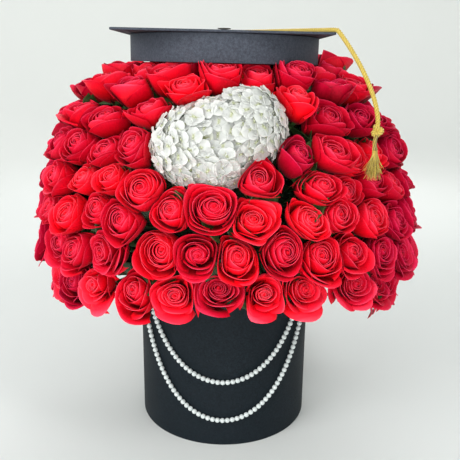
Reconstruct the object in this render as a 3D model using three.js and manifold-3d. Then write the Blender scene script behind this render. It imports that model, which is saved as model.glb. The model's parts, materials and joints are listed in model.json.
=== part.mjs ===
// A round flower box filled with roses and one hydrangea, under a graduation-cap lid.
// Millimetres, +Z up. The origin is the centre of the box's bottom, the front is -Y, +X is right.
import * as THREE from 'three';
import { mergeVertices } from 'three/addons/utils/BufferGeometryUtils.js';
import Module from 'manifold-3d';

const manifoldLibrary = await Module();
manifoldLibrary.setup();

// ---- driving dimensions ----------------------------------------------------------------
const GAP = 0.3; // clearance between neighbouring pieces
const WELD_DISTANCE = 1e-4; // corners closer than this are one corner
const TAU = Math.PI * 2;
const SEED = 15;

const BOX_RADIUS = 109;
const BOX_HEIGHT = 190;
const BOARD_THICKNESS = 2.5; // the cardboard of the box
const ROUND_SIDES = 40;
const LINER_HEIGHT = 150;
const LINER_THICKNESS = 0.9;
const LINER_PLAY = 1;
const FOAM_RADIUS = 97;
const FOAM_SIDES = 24;
const CROWN_RADIUS = 105; // ball of foam above the rim
const CROWN_CENTRE = new THREE.Vector3(0, 0, 235);
const CROWN_SIDES = 16;
const CROWN_STEPS = 4;
const STEM_CLEARANCE = 0.45;

const LID_SHIFT_X = -3;
const LID_BOTTOM = 452.6;
const LID_TILT = THREE.MathUtils.degToRad(0.6);
const LID_INNER_RADIUS = 109.6;
const LID_OUTER_RADIUS = 111.6;
const LID_HEIGHT = 30;
const MORTARBOARD_SIDE = 231;
const MORTARBOARD_THICKNESS = 2.5;
const MORTARBOARD_CORNER = 4;
const MORTARBOARD_TOP = LID_HEIGHT + GAP + MORTARBOARD_THICKNESS;

const CORD_RADIUS = 2.3;
const CORD_SIDES = 8;
const CORD_DIRECTION = THREE.MathUtils.degToRad(-43.5);
const CORD_EDGE = 161.1; // distance from the button to the bend at the mortarboard's edge
const CORD_HEIGHT = MORTARBOARD_TOP + GAP + CORD_RADIUS;
const CORD_REACH = 55; // how far the hanging cord arcs out past the edge
const CORD_DROP = 90;
const CORD_DROP_CURVE = 1.6;
const CORD_DROP_START = 0.035; // share of the drop left free for the bend at the edge
const CORD_DROP_STEPS = 9;
const KNOT_RADIUS = 7;
const TAIL_LENGTH = 32; // from the end of the arc, through the knot, to the fringe
const KNOT_AND_TAIL = [ // depth below the end of the arc, and radius there
  [3, KNOT_RADIUS * 0.8], [7, KNOT_RADIUS], [11, KNOT_RADIUS * 0.8], [14, 3], [23, 2.8],
  [TAIL_LENGTH, 3.2],
];
const FRINGE = [[0, 3.2], [8, 5], [18, 7], [24, 6]]; // depth below the tail, and radius there
const FRINGE_FLARE = 4;
const BUTTON_X = -1; // the button and the board sit a little off the lid's middle
const BUTTON_RADIUS = 8;
const BUTTON_EDGE = 1.3;
const BUTTON_CROWN_SHARE = 0.7;
const BUTTON_THICKNESS = 1.8;
const BUTTON_NECK_RADIUS = 3;
const CORD_LOOP_RADIUS = BUTTON_NECK_RADIUS + GAP + CORD_RADIUS;
const LOOP_SECTION_SIDES = 6;
const SMALL_ROUND_SIDES = 12;

const BEAD_RADIUS = 2.9;
const BEAD_PITCH = 6;
const BEAD_SIDES = 5;
const THREAD_RADIUS = 0.6;
const STRAND_FREE_END = 0.4; // bare thread between the last bead and the eyelet, in pitches
const STRAND_SLACK = 0.1;
const STRAND_RADIUS = BOX_RADIUS + GAP + BEAD_RADIUS + STRAND_SLACK; // the strands lie against the box
const EYELET_HEIGHT = 176;
const EYELET_HOLE = 2.2;
const EYELET_BARREL = 2.9;
const EYELET_FLANGE = 4.2;
const EYELET_FLANGE_THICKNESS = 0.6;
const EYELET_SIDES = 8;
const EYELET_CLEARANCE = 0.4;
const STRAND_KNOT = [ // distance from the box's axis, and radius there
  [101.6, THREAD_RADIUS], [103.2, 2.2], [104.8, THREAD_RADIUS], [BOX_RADIUS + 2, THREAD_RADIUS],
];
const STRANDS = [
  { name: 'upper', eyeletAngle: 54, lowest: 86.5 },
  { name: 'lower', eyeletAngle: 63.5, lowest: 36 },
];

// The flower faces lie on an ellipsoid, wider than it is deep and flatter below its middle.
const DOME_CENTRE_Z = 250;
const DOME_X = 238;
const DOME_Y = 207;
const DOME_UP = 240;
const DOME_DOWN = 125;
const LID_SHADOW = 128; // the roses nearer to the axis than this stay low enough for the lid
const SHADOW_TOP = 439;
const SHADOW_RISE = 20; // they rise this much more towards the middle
const SHADOW_RISE_RADIUS = 98;
const ROSE_ROWS = [
  { z: 200, count: 25, radius: 23, bunches: 5 },
  { z: 243, count: 29, radius: 21, bunches: 6 },
  { z: 285, count: 29, radius: 21, bunches: 6 },
  { z: 326, count: 28, radius: 21, bunches: 5 },
  { z: 364, count: 26, radius: 21, bunches: 5 },
  { z: 398, count: 23, radius: 21, bunches: 4 },
  { z: 428, count: 19, radius: 21, bunches: 3 },
  { z: 456, count: 15, radius: 20.5, bunches: 3 },
  { z: 476, count: 9, radius: 20.5, bunches: 2 },
  { z: 487, count: 4, radius: 20.5, bunches: 1 },
];
const FRONT_CROWDING = 0.14; // the roses stand closer together at the front than at the back
const FRONT_LIFT = 38; // the two lowest rows ride this much higher at the front
const LIFT_FADE_ROWS = 6; // the lift shrinks row by row and is gone by this one
const FRONT_SHRINK = 1.4; // the crowded front roses are this much smaller, those at the back larger
const LIFT_SHARPNESS = 1.5;
const LIFT_PER_ROW = 1.25;
const TURN_JITTER = 0.4; // share of the spacing in a row
const HEIGHT_JITTER = 12;
const DEPTH_JITTER = 6;
const DEPTH_MIDDLE = 0.7;
const ROSE_RADIUS_SPREAD = 2.4;
const FACE_GAP = 2.5;
const TASSEL_RECESS = -13; // depth of the roses behind the tassel
const TASSEL_SECTOR = [-8, 24]; // degrees from the cord's direction
const TASSEL_BELOW_KNOT = [5, TAIL_LENGTH + 45];
const EVEN_SPACING = 50; // roses further apart than this leave each other alone
const SETTLE_ROUNDS = 140;
const SPREADING_ROUNDS = 60;
const SPREADING_PUSH = 0.04;
const OVERLAP_PUSH = 0.35;
const SETTLE_SINK = 4;
const ROSE_LENGTH = 40;
const ROSE_SIDES = 5;
const HIP_DEPTH = 22; // the petals start to draw in this far below the face
const HIP_SHARE = 0.78;
const NECK_RADIUS = 2.6;
const ROSE_UPTURN = THREE.MathUtils.degToRad(14); // faces look up a little more than the dome
const ROSE_TILT_SPREAD = THREE.MathUtils.degToRad(9);
const STEM_RADIUS = 1.6;
const TRUNK_RADIUS = 4.6;
const TRUNK_OUTER = 132; // where a bunch's stems meet, from the crown's centre
const TRUNK_INNER = 80;
const TRUNK_MEETING = 126;

const HYDRANGEA_LOBES = [
  { centre: new THREE.Vector3(-33, -152, 371), radius: 42 },
  { centre: new THREE.Vector3(23, -146, 392), radius: 40 },
  { centre: new THREE.Vector3(-6, -158, 360), radius: 31 },
  { centre: new THREE.Vector3(-5, -149, 388), radius: 35 },
];
const HYDRANGEA_STEM_TOP = HYDRANGEA_LOBES[2].centre;
const HYDRANGEA_DEPTH = 0.78;
const HYDRANGEA_CLEARANCE = 1.5;
const HYDRANGEA_CROWDING = 0.9; // a rose deeper in it than this many radii is left out

// ---- materials -------------------------------------------------------------------------
function finish(colour, roughness, metalness = 0) {
  return () => new THREE.MeshStandardMaterial({ color: colour, roughness, metalness });
}
const blackPaper = finish('#1b2226', 0.75);
const charcoalBoard = finish('#3a4046', 0.8);
const clearPlastic = finish('#9fb0b4', 0.35);
const floralFoam = finish('#2f5a38', 0.95);
const redPetal = finish('#c3122f', 0.6);
const whitePetal = finish('#eef0e6', 0.7);
const goldCord = finish('#b8992c', 0.45);
const pearl = finish('#dfe3e2', 0.25);
const silverMetal = finish('#a9adb0', 0.35, 1);

// ---- solids ----------------------------------------------------------------------------
function solidOf(geometry) {
  const bare = (geometry.index ? geometry.toNonIndexed() : geometry.clone());
  for (const attribute of ['normal', 'uv']) bare.deleteAttribute(attribute);
  const merged = mergeVertices(bare, WELD_DISTANCE);
  const corners = merged.index.array;
  const kept = [];
  for (let i = 0; i < corners.length; i += 3) {
    const [a, b, c] = corners.slice(i, i + 3);
    if (a !== b && b !== c && c !== a) kept.push(a, b, c);
  }
  return new manifoldLibrary.Manifold(new manifoldLibrary.Mesh({
    numProp: 3,
    vertProperties: new Float32Array(merged.attributes.position.array),
    triVerts: new Uint32Array(kept),
  }));
}

function geometryOf(solid) {
  const mesh = solid.getMesh();
  const geometry = new THREE.BufferGeometry();
  geometry.setAttribute('position', new THREE.BufferAttribute(mesh.vertProperties, 3));
  geometry.setIndex(new THREE.BufferAttribute(mesh.triVerts, 1));
  return geometry;
}

function joined(geometries) {
  return geometryOf(geometries.map(solidOf).reduce((sum, solid) => sum.add(solid)));
}

function cut(geometry, cutters) {
  const start = solidOf(geometry);
  return geometryOf(cutters.map(solidOf).reduce((rest, solid) => rest.subtract(solid), start));
}

function turned(profile, sides) {
  const points = profile.map(([radius, height]) => new THREE.Vector2(radius, height));
  return new THREE.LatheGeometry(points, sides).rotateX(Math.PI / 2);
}

function ringProfile(inner, outer, bottom, top) {
  return [[inner, bottom], [outer, bottom], [outer, top], [inner, top], [inner, bottom]];
}

function discProfile(radius, bottom, top) {
  return [[0, bottom], [radius, bottom], [radius, top], [0, top]];
}

const NEARLY_UPRIGHT = 0.9; // a path this steep needs a level starting direction

// A closed skin through rings of points: one centre and one radius for each ring.
function lofted(centres, radii, sides) {
  const positions = [];
  const side = new THREE.Vector3(0, 0, 1);
  centres.forEach((centre, ring) => {
    const before = centres[Math.max(ring - 1, 0)];
    const after = centres[Math.min(ring + 1, centres.length - 1)];
    const along = after.clone().sub(before).normalize();
    if (ring === 0 && Math.abs(along.z) > NEARLY_UPRIGHT) side.set(1, 0, 0);
    side.addScaledVector(along, -side.dot(along)).normalize();
    const across = along.clone().cross(side);
    for (let k = 0; k < sides; k += 1) {
      const turn = (TAU * k) / sides;
      const point = centre.clone()
        .addScaledVector(side, radii[ring] * Math.cos(turn))
        .addScaledVector(across, radii[ring] * Math.sin(turn));
      positions.push(point.x, point.y, point.z);
    }
  });
  const faces = [];
  for (let ring = 0; ring + 1 < centres.length; ring += 1) {
    for (let k = 0; k < sides; k += 1) {
      const a = ring * sides + k;
      const b = ring * sides + ((k + 1) % sides);
      faces.push(a, b, b + sides, a, b + sides, a + sides);
    }
  }
  const last = (centres.length - 1) * sides;
  for (let k = 1; k + 1 < sides; k += 1) {
    faces.push(0, k + 1, k);
    faces.push(last, last + k, last + k + 1);
  }
  const geometry = new THREE.BufferGeometry();
  geometry.setAttribute('position', new THREE.Float32BufferAttribute(positions, 3));
  geometry.setIndex(faces);
  return geometry;
}

function rod(from, to, radius, sides) {
  return lofted([from, to], [radius, radius], sides);
}

const object = new THREE.Group();

function piece(name, geometry, material, parent = object) {
  const mesh = new THREE.Mesh(geometry, material());
  mesh.name = name;
  parent.add(mesh);
  return mesh;
}

// ---- the box ---------------------------------------------------------------------------
// A direction on the box wall: 0 is the front, positive is to the right.
function wallDirection(degrees) {
  const angle = THREE.MathUtils.degToRad(degrees);
  return new THREE.Vector3(Math.sin(angle), -Math.cos(angle), 0);
}

function eyeletPoint(degrees, radius) {
  return wallDirection(degrees).multiplyScalar(radius).setZ(EYELET_HEIGHT);
}

function boxWall() {
  const inner = BOX_RADIUS - BOARD_THICKNESS;
  const tube = turned(ringProfile(inner, BOX_RADIUS, 0, BOX_HEIGHT), ROUND_SIDES);
  const beyond = 2 * BOARD_THICKNESS;
  const holes = STRANDS.flatMap(({ eyeletAngle }) => [-eyeletAngle, eyeletAngle]).map((angle) => (
    rod(
      eyeletPoint(angle, inner - beyond), eyeletPoint(angle, BOX_RADIUS + beyond),
      EYELET_BARREL + EYELET_CLEARANCE, EYELET_SIDES,
    )
  ));
  return cut(tube, holes);
}

function eyelet(degrees) {
  const inside = BOX_RADIUS - BOARD_THICKNESS - EYELET_CLEARANCE;
  const seat = BOX_RADIUS + GAP;
  const profile = [
    [EYELET_HOLE, inside], [EYELET_BARREL, inside], [EYELET_BARREL, seat],
    [EYELET_FLANGE, seat], [EYELET_FLANGE, seat + EYELET_FLANGE_THICKNESS],
    [EYELET_HOLE, seat + EYELET_FLANGE_THICKNESS], [EYELET_HOLE, inside],
  ];
  const upright = new THREE.Vector3(0, 0, 1);
  const turn = new THREE.Quaternion().setFromUnitVectors(upright, wallDirection(degrees));
  return turned(profile, EYELET_SIDES).applyQuaternion(turn).translate(0, 0, EYELET_HEIGHT);
}

function buildBox() {
  const inner = BOX_RADIUS - BOARD_THICKNESS;
  piece('box_wall', boxWall(), blackPaper);
  piece('box_base', turned(discProfile(inner - GAP, 0, BOARD_THICKNESS), ROUND_SIDES), blackPaper);
  const linerRadius = inner - LINER_PLAY;
  const linerBottom = BOARD_THICKNESS + GAP;
  piece('inner_liner', turned([
    [0, linerBottom], [linerRadius, linerBottom], [linerRadius, LINER_HEIGHT],
    [linerRadius - LINER_THICKNESS, LINER_HEIGHT],
    [linerRadius - LINER_THICKNESS, linerBottom + LINER_THICKNESS], [0, linerBottom + LINER_THICKNESS],
  ], ROUND_SIDES), clearPlastic);
  const foamBottom = linerBottom + LINER_THICKNESS + GAP;
  piece('foam_core', turned(discProfile(FOAM_RADIUS, foamBottom, BOX_HEIGHT), FOAM_SIDES), floralFoam);
  for (const { name, eyeletAngle } of STRANDS) {
    piece(`eyelet_${name}_left`, eyelet(-eyeletAngle), silverMetal);
    piece(`eyelet_${name}_right`, eyelet(eyeletAngle), silverMetal);
  }
}

// ---- pearl strands ---------------------------------------------------------------------
const CATENARY_LOW = 1 / 8; // the search's two ends, in half spans
const CATENARY_HIGH = 20;
const CATENARY_STEPS = 60;

// The catenary parameter of a chain that sags by "sag" over a half span, found by halving.
function catenaryParameter(halfSpan, sag) {
  let low = halfSpan * CATENARY_LOW;
  let high = halfSpan * CATENARY_HIGH;
  for (let step = 0; step < CATENARY_STEPS; step += 1) {
    const middle = (low + high) / 2;
    const fall = middle * (Math.cosh(halfSpan / middle) - 1);
    if (fall > sag) low = middle;
    else high = middle;
  }
  return (low + high) / 2;
}

// A chain of beads that hangs in a catenary wrapped round the box, knotted behind both eyelets.
function pearlStrand({ eyeletAngle, lowest }) {
  const halfSpan = THREE.MathUtils.degToRad(eyeletAngle) * STRAND_RADIUS;
  const parameter = catenaryParameter(halfSpan, EYELET_HEIGHT - lowest);
  const halfLength = parameter * Math.sinh(halfSpan / parameter);
  const beads = 2 * Math.floor(halfLength / BEAD_PITCH - STRAND_FREE_END) + 1;
  function chainPoint(distance) {
    const across = parameter * Math.asinh(distance / parameter);
    const height = lowest + parameter * (Math.cosh(across / parameter) - 1);
    const degrees = THREE.MathUtils.radToDeg(across / STRAND_RADIUS);
    return wallDirection(degrees).multiplyScalar(STRAND_RADIUS).setZ(height);
  }
  const centres = STRAND_KNOT.map(([reach]) => eyeletPoint(-eyeletAngle, reach));
  const radii = STRAND_KNOT.map(([, size]) => size);
  for (let bead = 0; bead <= beads; bead += 1) {
    const distance = (bead - beads / 2) * BEAD_PITCH;
    centres.push(chainPoint(distance));
    radii.push(THREAD_RADIUS);
    if (bead < beads) {
      centres.push(chainPoint(distance + BEAD_PITCH / 2));
      radii.push(BEAD_RADIUS);
    }
  }
  for (const [reach, size] of [...STRAND_KNOT].reverse()) {
    centres.push(eyeletPoint(eyeletAngle, reach));
    radii.push(size);
  }
  return lofted(centres, radii, BEAD_SIDES);
}

function buildStrands() {
  for (const strand of STRANDS) {
    piece(`pearl_strand_${strand.name}`, pearlStrand(strand), pearl);
  }
}

// ---- the lid and its tassel ------------------------------------------------------------
function mortarboard() {
  const half = MORTARBOARD_SIDE / 2;
  const inset = half - MORTARBOARD_CORNER;
  const outline = new THREE.Shape();
  outline.absarc(inset, inset, MORTARBOARD_CORNER, 0, TAU / 4);
  outline.absarc(-inset, inset, MORTARBOARD_CORNER, TAU / 4, TAU / 2);
  outline.absarc(-inset, -inset, MORTARBOARD_CORNER, TAU / 2, (3 * TAU) / 4);
  outline.absarc(inset, -inset, MORTARBOARD_CORNER, (3 * TAU) / 4, TAU);
  const settings = { depth: MORTARBOARD_THICKNESS, bevelEnabled: false, curveSegments: 3 };
  return new THREE.ExtrudeGeometry(outline, settings).translate(BUTTON_X, 0, LID_HEIGHT + GAP);
}

// A point in the upright plane in which the tassel hangs, in the lid's own frame.
function cordPoint(distance, height) {
  return new THREE.Vector3(
    BUTTON_X + distance * Math.cos(CORD_DIRECTION), distance * Math.sin(CORD_DIRECTION), height,
  );
}

function cordLoop() {
  const profile = [];
  for (let k = 0; k < LOOP_SECTION_SIDES; k += 1) {
    const turn = (TAU * k) / LOOP_SECTION_SIDES;
    const radius = CORD_LOOP_RADIUS + CORD_RADIUS * Math.cos(turn);
    profile.push([radius, CORD_HEIGHT + CORD_RADIUS * Math.sin(turn)]);
  }
  return turned([...profile, profile[0]], SMALL_ROUND_SIDES).translate(BUTTON_X, 0, 0);
}

function cordTop() {
  const straight = rod(
    cordPoint(CORD_LOOP_RADIUS, CORD_HEIGHT), cordPoint(CORD_EDGE - GAP, CORD_HEIGHT),
    CORD_RADIUS, CORD_SIDES,
  );
  return joined([cordLoop(), straight]);
}

function cordDrop() {
  const centres = [];
  const radii = [];
  for (let k = 0; k <= CORD_DROP_STEPS; k += 1) {
    const part = CORD_DROP_START + ((1 - CORD_DROP_START) * k) / CORD_DROP_STEPS;
    const out = CORD_EDGE + CORD_REACH * (1 - (1 - part) ** CORD_DROP_CURVE);
    centres.push(cordPoint(out, CORD_HEIGHT - CORD_DROP * part));
    radii.push(CORD_RADIUS);
  }
  for (const [depth, radius] of KNOT_AND_TAIL) {
    centres.push(tailPoint(depth));
    radii.push(radius);
  }
  return lofted(centres, radii, CORD_SIDES);
}

// A point under the end of the arc: the tail hangs straight down, then flares out a little.
function tailPoint(depth) {
  const flare = FRINGE_FLARE * Math.max(0, depth / TAIL_LENGTH - 0.5) ** 2;
  return cordPoint(CORD_EDGE + CORD_REACH + flare, CORD_HEIGHT - CORD_DROP - depth);
}

function tasselFringe() {
  const top = TAIL_LENGTH + GAP * 2;
  const centres = FRINGE.map(([depth]) => tailPoint(top + depth));
  return lofted(centres, FRINGE.map(([, radius]) => radius), CORD_SIDES);
}

function buildLid() {
  const lid = new THREE.Group();
  lid.position.set(LID_SHIFT_X, 0, LID_BOTTOM);
  lid.rotation.y = LID_TILT;
  object.add(lid);
  const discBottom = LID_HEIGHT - BOARD_THICKNESS;
  piece('lid_band', turned(
    ringProfile(LID_INNER_RADIUS, LID_OUTER_RADIUS, 0, LID_HEIGHT), ROUND_SIDES,
  ), charcoalBoard, lid);
  piece('lid_top_disc', turned(
    discProfile(LID_INNER_RADIUS - GAP, discBottom, LID_HEIGHT), ROUND_SIDES,
  ), charcoalBoard, lid);
  piece('mortarboard', mortarboard(), charcoalBoard, lid);
  const buttonBottom = MORTARBOARD_TOP + GAP;
  const capBottom = CORD_HEIGHT + CORD_RADIUS + GAP;
  piece('tassel_button', turned([
    [0, buttonBottom], [BUTTON_NECK_RADIUS, buttonBottom], [BUTTON_NECK_RADIUS, capBottom],
    [BUTTON_RADIUS, capBottom], [BUTTON_RADIUS * BUTTON_CROWN_SHARE, capBottom + BUTTON_EDGE],
    [0, capBottom + BUTTON_THICKNESS],
  ], SMALL_ROUND_SIDES).translate(BUTTON_X, 0, 0), blackPaper, lid);
  piece('tassel_cord_top', cordTop(), goldCord, lid);
  piece('tassel_cord_drop', cordDrop(), goldCord, lid);
  piece('tassel_fringe', tasselFringe(), goldCord, lid);
}

// ---- flowers ---------------------------------------------------------------------------
// A repeatable sequence of numbers between 0 and 1.
function seededRandom(seed) {
  let state = seed;
  return () => {
    state = (state + 0x6d2b79f5) | 0;
    let mixed = Math.imul(state ^ (state >>> 15), 1 | state);
    mixed = (mixed + Math.imul(mixed ^ (mixed >>> 7), 61 | mixed)) ^ mixed;
    return ((mixed ^ (mixed >>> 14)) >>> 0) / 4294967296;
  };
}

function domeHeight(z) {
  return z > DOME_CENTRE_Z ? DOME_UP : DOME_DOWN;
}

function ontoDome(point) {
  const rise = point.z - DOME_CENTRE_Z;
  const scale = Math.hypot(point.x / DOME_X, point.y / DOME_Y, rise / domeHeight(point.z));
  point.set(point.x / scale, point.y / scale, DOME_CENTRE_Z + rise / scale);
  const distance = Math.hypot(point.x, point.y);
  if (distance < LID_SHADOW) {
    const upper = SHADOW_TOP + SHADOW_RISE * Math.max(0, 1 - (distance / SHADOW_RISE_RADIUS) ** 2);
    point.z = Math.min(point.z, upper);
  }
}

function domeNormal(point) {
  const rise = (point.z - DOME_CENTRE_Z) / domeHeight(point.z) ** 2;
  return new THREE.Vector3(point.x / DOME_X ** 2, point.y / DOME_Y ** 2, rise).normalize();
}

// Roses stand in rows round the dome, the lower rows lifted at the front.
function roseStarts(random) {
  const roses = [];
  ROSE_ROWS.forEach(({ z, count, radius }, row) => {
    const lift = FRONT_LIFT * Math.min(1, LIFT_PER_ROW * Math.max(0, 1 - row / LIFT_FADE_ROWS));
    for (let k = 0; k < count; k += 1) {
      const even = (TAU * (k + 0.5 * (row % 2) + TURN_JITTER * (random() - 0.5))) / count;
      const turn = even - FRONT_CROWDING * Math.sin(even);
      const height = z + lift * Math.max(0, Math.cos(turn)) ** LIFT_SHARPNESS
        + Math.min(HEIGHT_JITTER, DOME_CENTRE_Z + DOME_UP - z) * (random() - 0.5);
      const rise = (height - DOME_CENTRE_Z) / domeHeight(height);
      const reach = Math.sqrt(1 - rise * rise);
      roses.push({
        row,
        point: new THREE.Vector3(
          DOME_X * reach * Math.sin(turn), -DOME_Y * reach * Math.cos(turn), height,
        ),
        radius: radius - FRONT_SHRINK * Math.cos(turn) + ROSE_RADIUS_SPREAD * (random() * 2 - 1),
        depth: DEPTH_JITTER * (random() - DEPTH_MIDDLE),
        tilt: [random() - 0.5, random() - 0.5],
      });
    }
  });
  const top = new THREE.Vector3(0, 0, DOME_CENTRE_Z + DOME_UP);
  const last = ROSE_ROWS.length - 1;
  roses.push({ row: last, point: top, radius: ROSE_ROWS[last].radius, depth: 0, tilt: [0, 0] });
  return roses;
}

function clearOfHydrangea(point, radius) {
  let most = 0;
  let away = null;
  for (const lobe of HYDRANGEA_LOBES) {
    const offset = point.clone().sub(lobe.centre);
    const overlap = lobe.radius + radius + HYDRANGEA_CLEARANCE - offset.length();
    if (overlap > most) {
      most = overlap;
      away = offset.normalize();
    }
  }
  return { most, away };
}

// Neighbours push each other apart along the dome: gently at first, to spread evenly, and
// firmly throughout, until no two faces overlap. No rose sinks far below where it started.
function settle(roses) {
  const lowest = new Map(roses.map((rose) => [rose, rose.point.z - SETTLE_SINK]));
  for (let round = 0; round < SETTLE_ROUNDS; round += 1) {
    const gentle = round < SPREADING_ROUNDS ? SPREADING_PUSH : 0;
    for (const rose of roses) {
      for (const other of roses) {
        const offset = rose.point.clone().sub(other.point);
        const distance = offset.length();
        const overlap = Math.max(0, rose.radius + other.radius + FACE_GAP - distance);
        const closeness = Math.max(0, EVEN_SPACING - distance);
        if (other !== rose && closeness > 0) {
          const push = overlap * OVERLAP_PUSH + closeness * gentle;
          rose.point.addScaledVector(offset.normalize(), push);
        }
      }
      rose.point.z = Math.max(rose.point.z, lowest.get(rose));
      const { most, away } = clearOfHydrangea(rose.point, rose.radius);
      if (most > 0) rose.point.addScaledVector(away, most);
      ontoDome(rose.point);
    }
  }
}

function roseAxis(rose) {
  const normal = domeNormal(rose.point);
  const level = Math.hypot(normal.x, normal.y);
  const steepest = TAU / 4;
  const slope = Math.max(Math.atan2(normal.z, level), 0) + ROSE_UPTURN;
  const elevation = Math.min(slope, steepest) + rose.tilt[0] * ROSE_TILT_SPREAD;
  const bearing = Math.atan2(normal.y, normal.x) + rose.tilt[1] * ROSE_TILT_SPREAD;
  return new THREE.Vector3(
    Math.cos(elevation) * Math.cos(bearing), Math.cos(elevation) * Math.sin(bearing),
    Math.sin(elevation),
  );
}

// One rose: the rings of its stem, then its neck, its widest petals and its flat face.
function roseOnStem(rose, stemPoints, stemRadius) {
  const axis = roseAxis(rose);
  const along = (distance) => rose.face.clone().addScaledVector(axis, -distance);
  return lofted(
    [...stemPoints, along(ROSE_LENGTH), along(HIP_DEPTH), rose.face],
    [...stemPoints.map(() => stemRadius), NECK_RADIUS, rose.radius * HIP_SHARE, rose.radius],
    ROSE_SIDES,
  );
}

function trunkEnds(roses) {
  const middle = new THREE.Vector3();
  for (const rose of roses) middle.add(rose.face);
  const outward = middle.divideScalar(roses.length).sub(CROWN_CENTRE).normalize();
  const at = (distance) => CROWN_CENTRE.clone().addScaledVector(outward, distance);
  return { inner: at(TRUNK_INNER), outer: at(TRUNK_OUTER), meeting: at(TRUNK_MEETING) };
}

// A bunch of neighbouring roses. The middle one's thick stem goes into the foam, and the
// others are bound to it.
function roseBunch(roses) {
  const { inner, outer, meeting } = trunkEnds(roses);
  const [middle, ...others] = [...roses].sort((a, b) => (
    a.face.distanceTo(outer) - b.face.distanceTo(outer)
  ));
  return joined([
    roseOnStem(middle, [inner, outer], TRUNK_RADIUS),
    ...others.map((rose) => roseOnStem(rose, [meeting], STEM_RADIUS)),
  ]);
}

function hydrangeaHead() {
  const lobes = HYDRANGEA_LOBES.map(({ centre, radius }) => (
    new THREE.IcosahedronGeometry(radius, 1).scale(1, HYDRANGEA_DEPTH, 1)
      .translate(centre.x, centre.y, centre.z)
  ));
  const stem = rod(hydrangeaStemFoot(), HYDRANGEA_STEM_TOP, TRUNK_RADIUS, ROSE_SIDES);
  return joined([...lobes, stem]);
}

function hydrangeaStemFoot() {
  const outward = HYDRANGEA_STEM_TOP.clone().sub(CROWN_CENTRE).normalize();
  return CROWN_CENTRE.clone().addScaledVector(outward, TRUNK_INNER);
}

// The roses behind the tassel sit deeper, so that it can swing sideways past them.
function isBehindTassel(point) {
  const offset = THREE.MathUtils.radToDeg(Math.atan2(point.y, point.x) - CORD_DIRECTION);
  const fromKnot = LID_BOTTOM + CORD_HEIGHT - CORD_DROP - point.z;
  return offset > TASSEL_SECTOR[0] && offset < TASSEL_SECTOR[1]
    && fromKnot > TASSEL_BELOW_KNOT[0] && fromKnot < TASSEL_BELOW_KNOT[1];
}

function placeRoses() {
  const random = seededRandom(SEED);
  const roses = roseStarts(random).filter((rose) => (
    clearOfHydrangea(rose.point, rose.radius).most < rose.radius * HYDRANGEA_CROWDING
  ));
  settle(roses);
  for (const rose of roses) {
    if (isBehindTassel(rose.point)) rose.depth = TASSEL_RECESS;
    rose.face = rose.point.clone().addScaledVector(domeNormal(rose.point), rose.depth);
    rose.turn = (Math.atan2(rose.point.x, -rose.point.y) + TAU) % TAU;
  }
  return roses;
}

// Each row is shared out, from the front round to the front, among its bunches.
function bunchesOf(roses) {
  const bunches = [];
  ROSE_ROWS.forEach(({ bunches: shares }, row) => {
    const inRow = roses.filter((rose) => rose.row === row).sort((a, b) => a.turn - b.turn);
    for (let k = 0; k < shares; k += 1) {
      const start = Math.round((inRow.length * k) / shares);
      const end = Math.round((inRow.length * (k + 1)) / shares);
      bunches.push({ name: `rose_row${row + 1}_bunch${k + 1}`, roses: inRow.slice(start, end) });
    }
  });
  return bunches;
}

function foamCrown(bunches) {
  const bottom = BOX_HEIGHT + GAP - CROWN_CENTRE.z;
  const lowest = Math.asin(bottom / CROWN_RADIUS);
  const profile = [[0, bottom]];
  for (let k = 0; k < CROWN_STEPS; k += 1) {
    const angle = lowest + ((TAU / 4 - lowest) * k) / CROWN_STEPS;
    profile.push([CROWN_RADIUS * Math.cos(angle), CROWN_RADIUS * Math.sin(angle)]);
  }
  profile.push([0, CROWN_RADIUS]);
  const dome = turned(profile, CROWN_SIDES).translate(0, 0, CROWN_CENTRE.z);
  const ends = bunches.map(({ roses }) => trunkEnds(roses));
  ends.push({ inner: hydrangeaStemFoot(), outer: HYDRANGEA_STEM_TOP });
  const holes = ends.map(({ inner, outer }) => {
    const along = outer.clone().sub(inner).normalize();
    const foot = inner.clone().addScaledVector(along, -STEM_CLEARANCE);
    return rod(foot, outer, TRUNK_RADIUS + STEM_CLEARANCE, ROSE_SIDES);
  });
  return cut(dome, holes);
}

function buildFlowers() {
  const bunches = bunchesOf(placeRoses());
  piece('foam_crown', foamCrown(bunches), floralFoam);
  for (const { name, roses } of bunches) piece(name, roseBunch(roses), redPetal);
  piece('hydrangea_head', hydrangeaHead(), whitePetal);
}

buildBox();
buildStrands();
buildFlowers();
buildLid();

export default object;
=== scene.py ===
"""Looks of the round flower box: paper, petals, pearls and cord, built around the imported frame."""
import json
import math

import bpy
import numpy as np
from mathutils import Matrix, Vector
from mathutils.bvhtree import BVHTree


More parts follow.
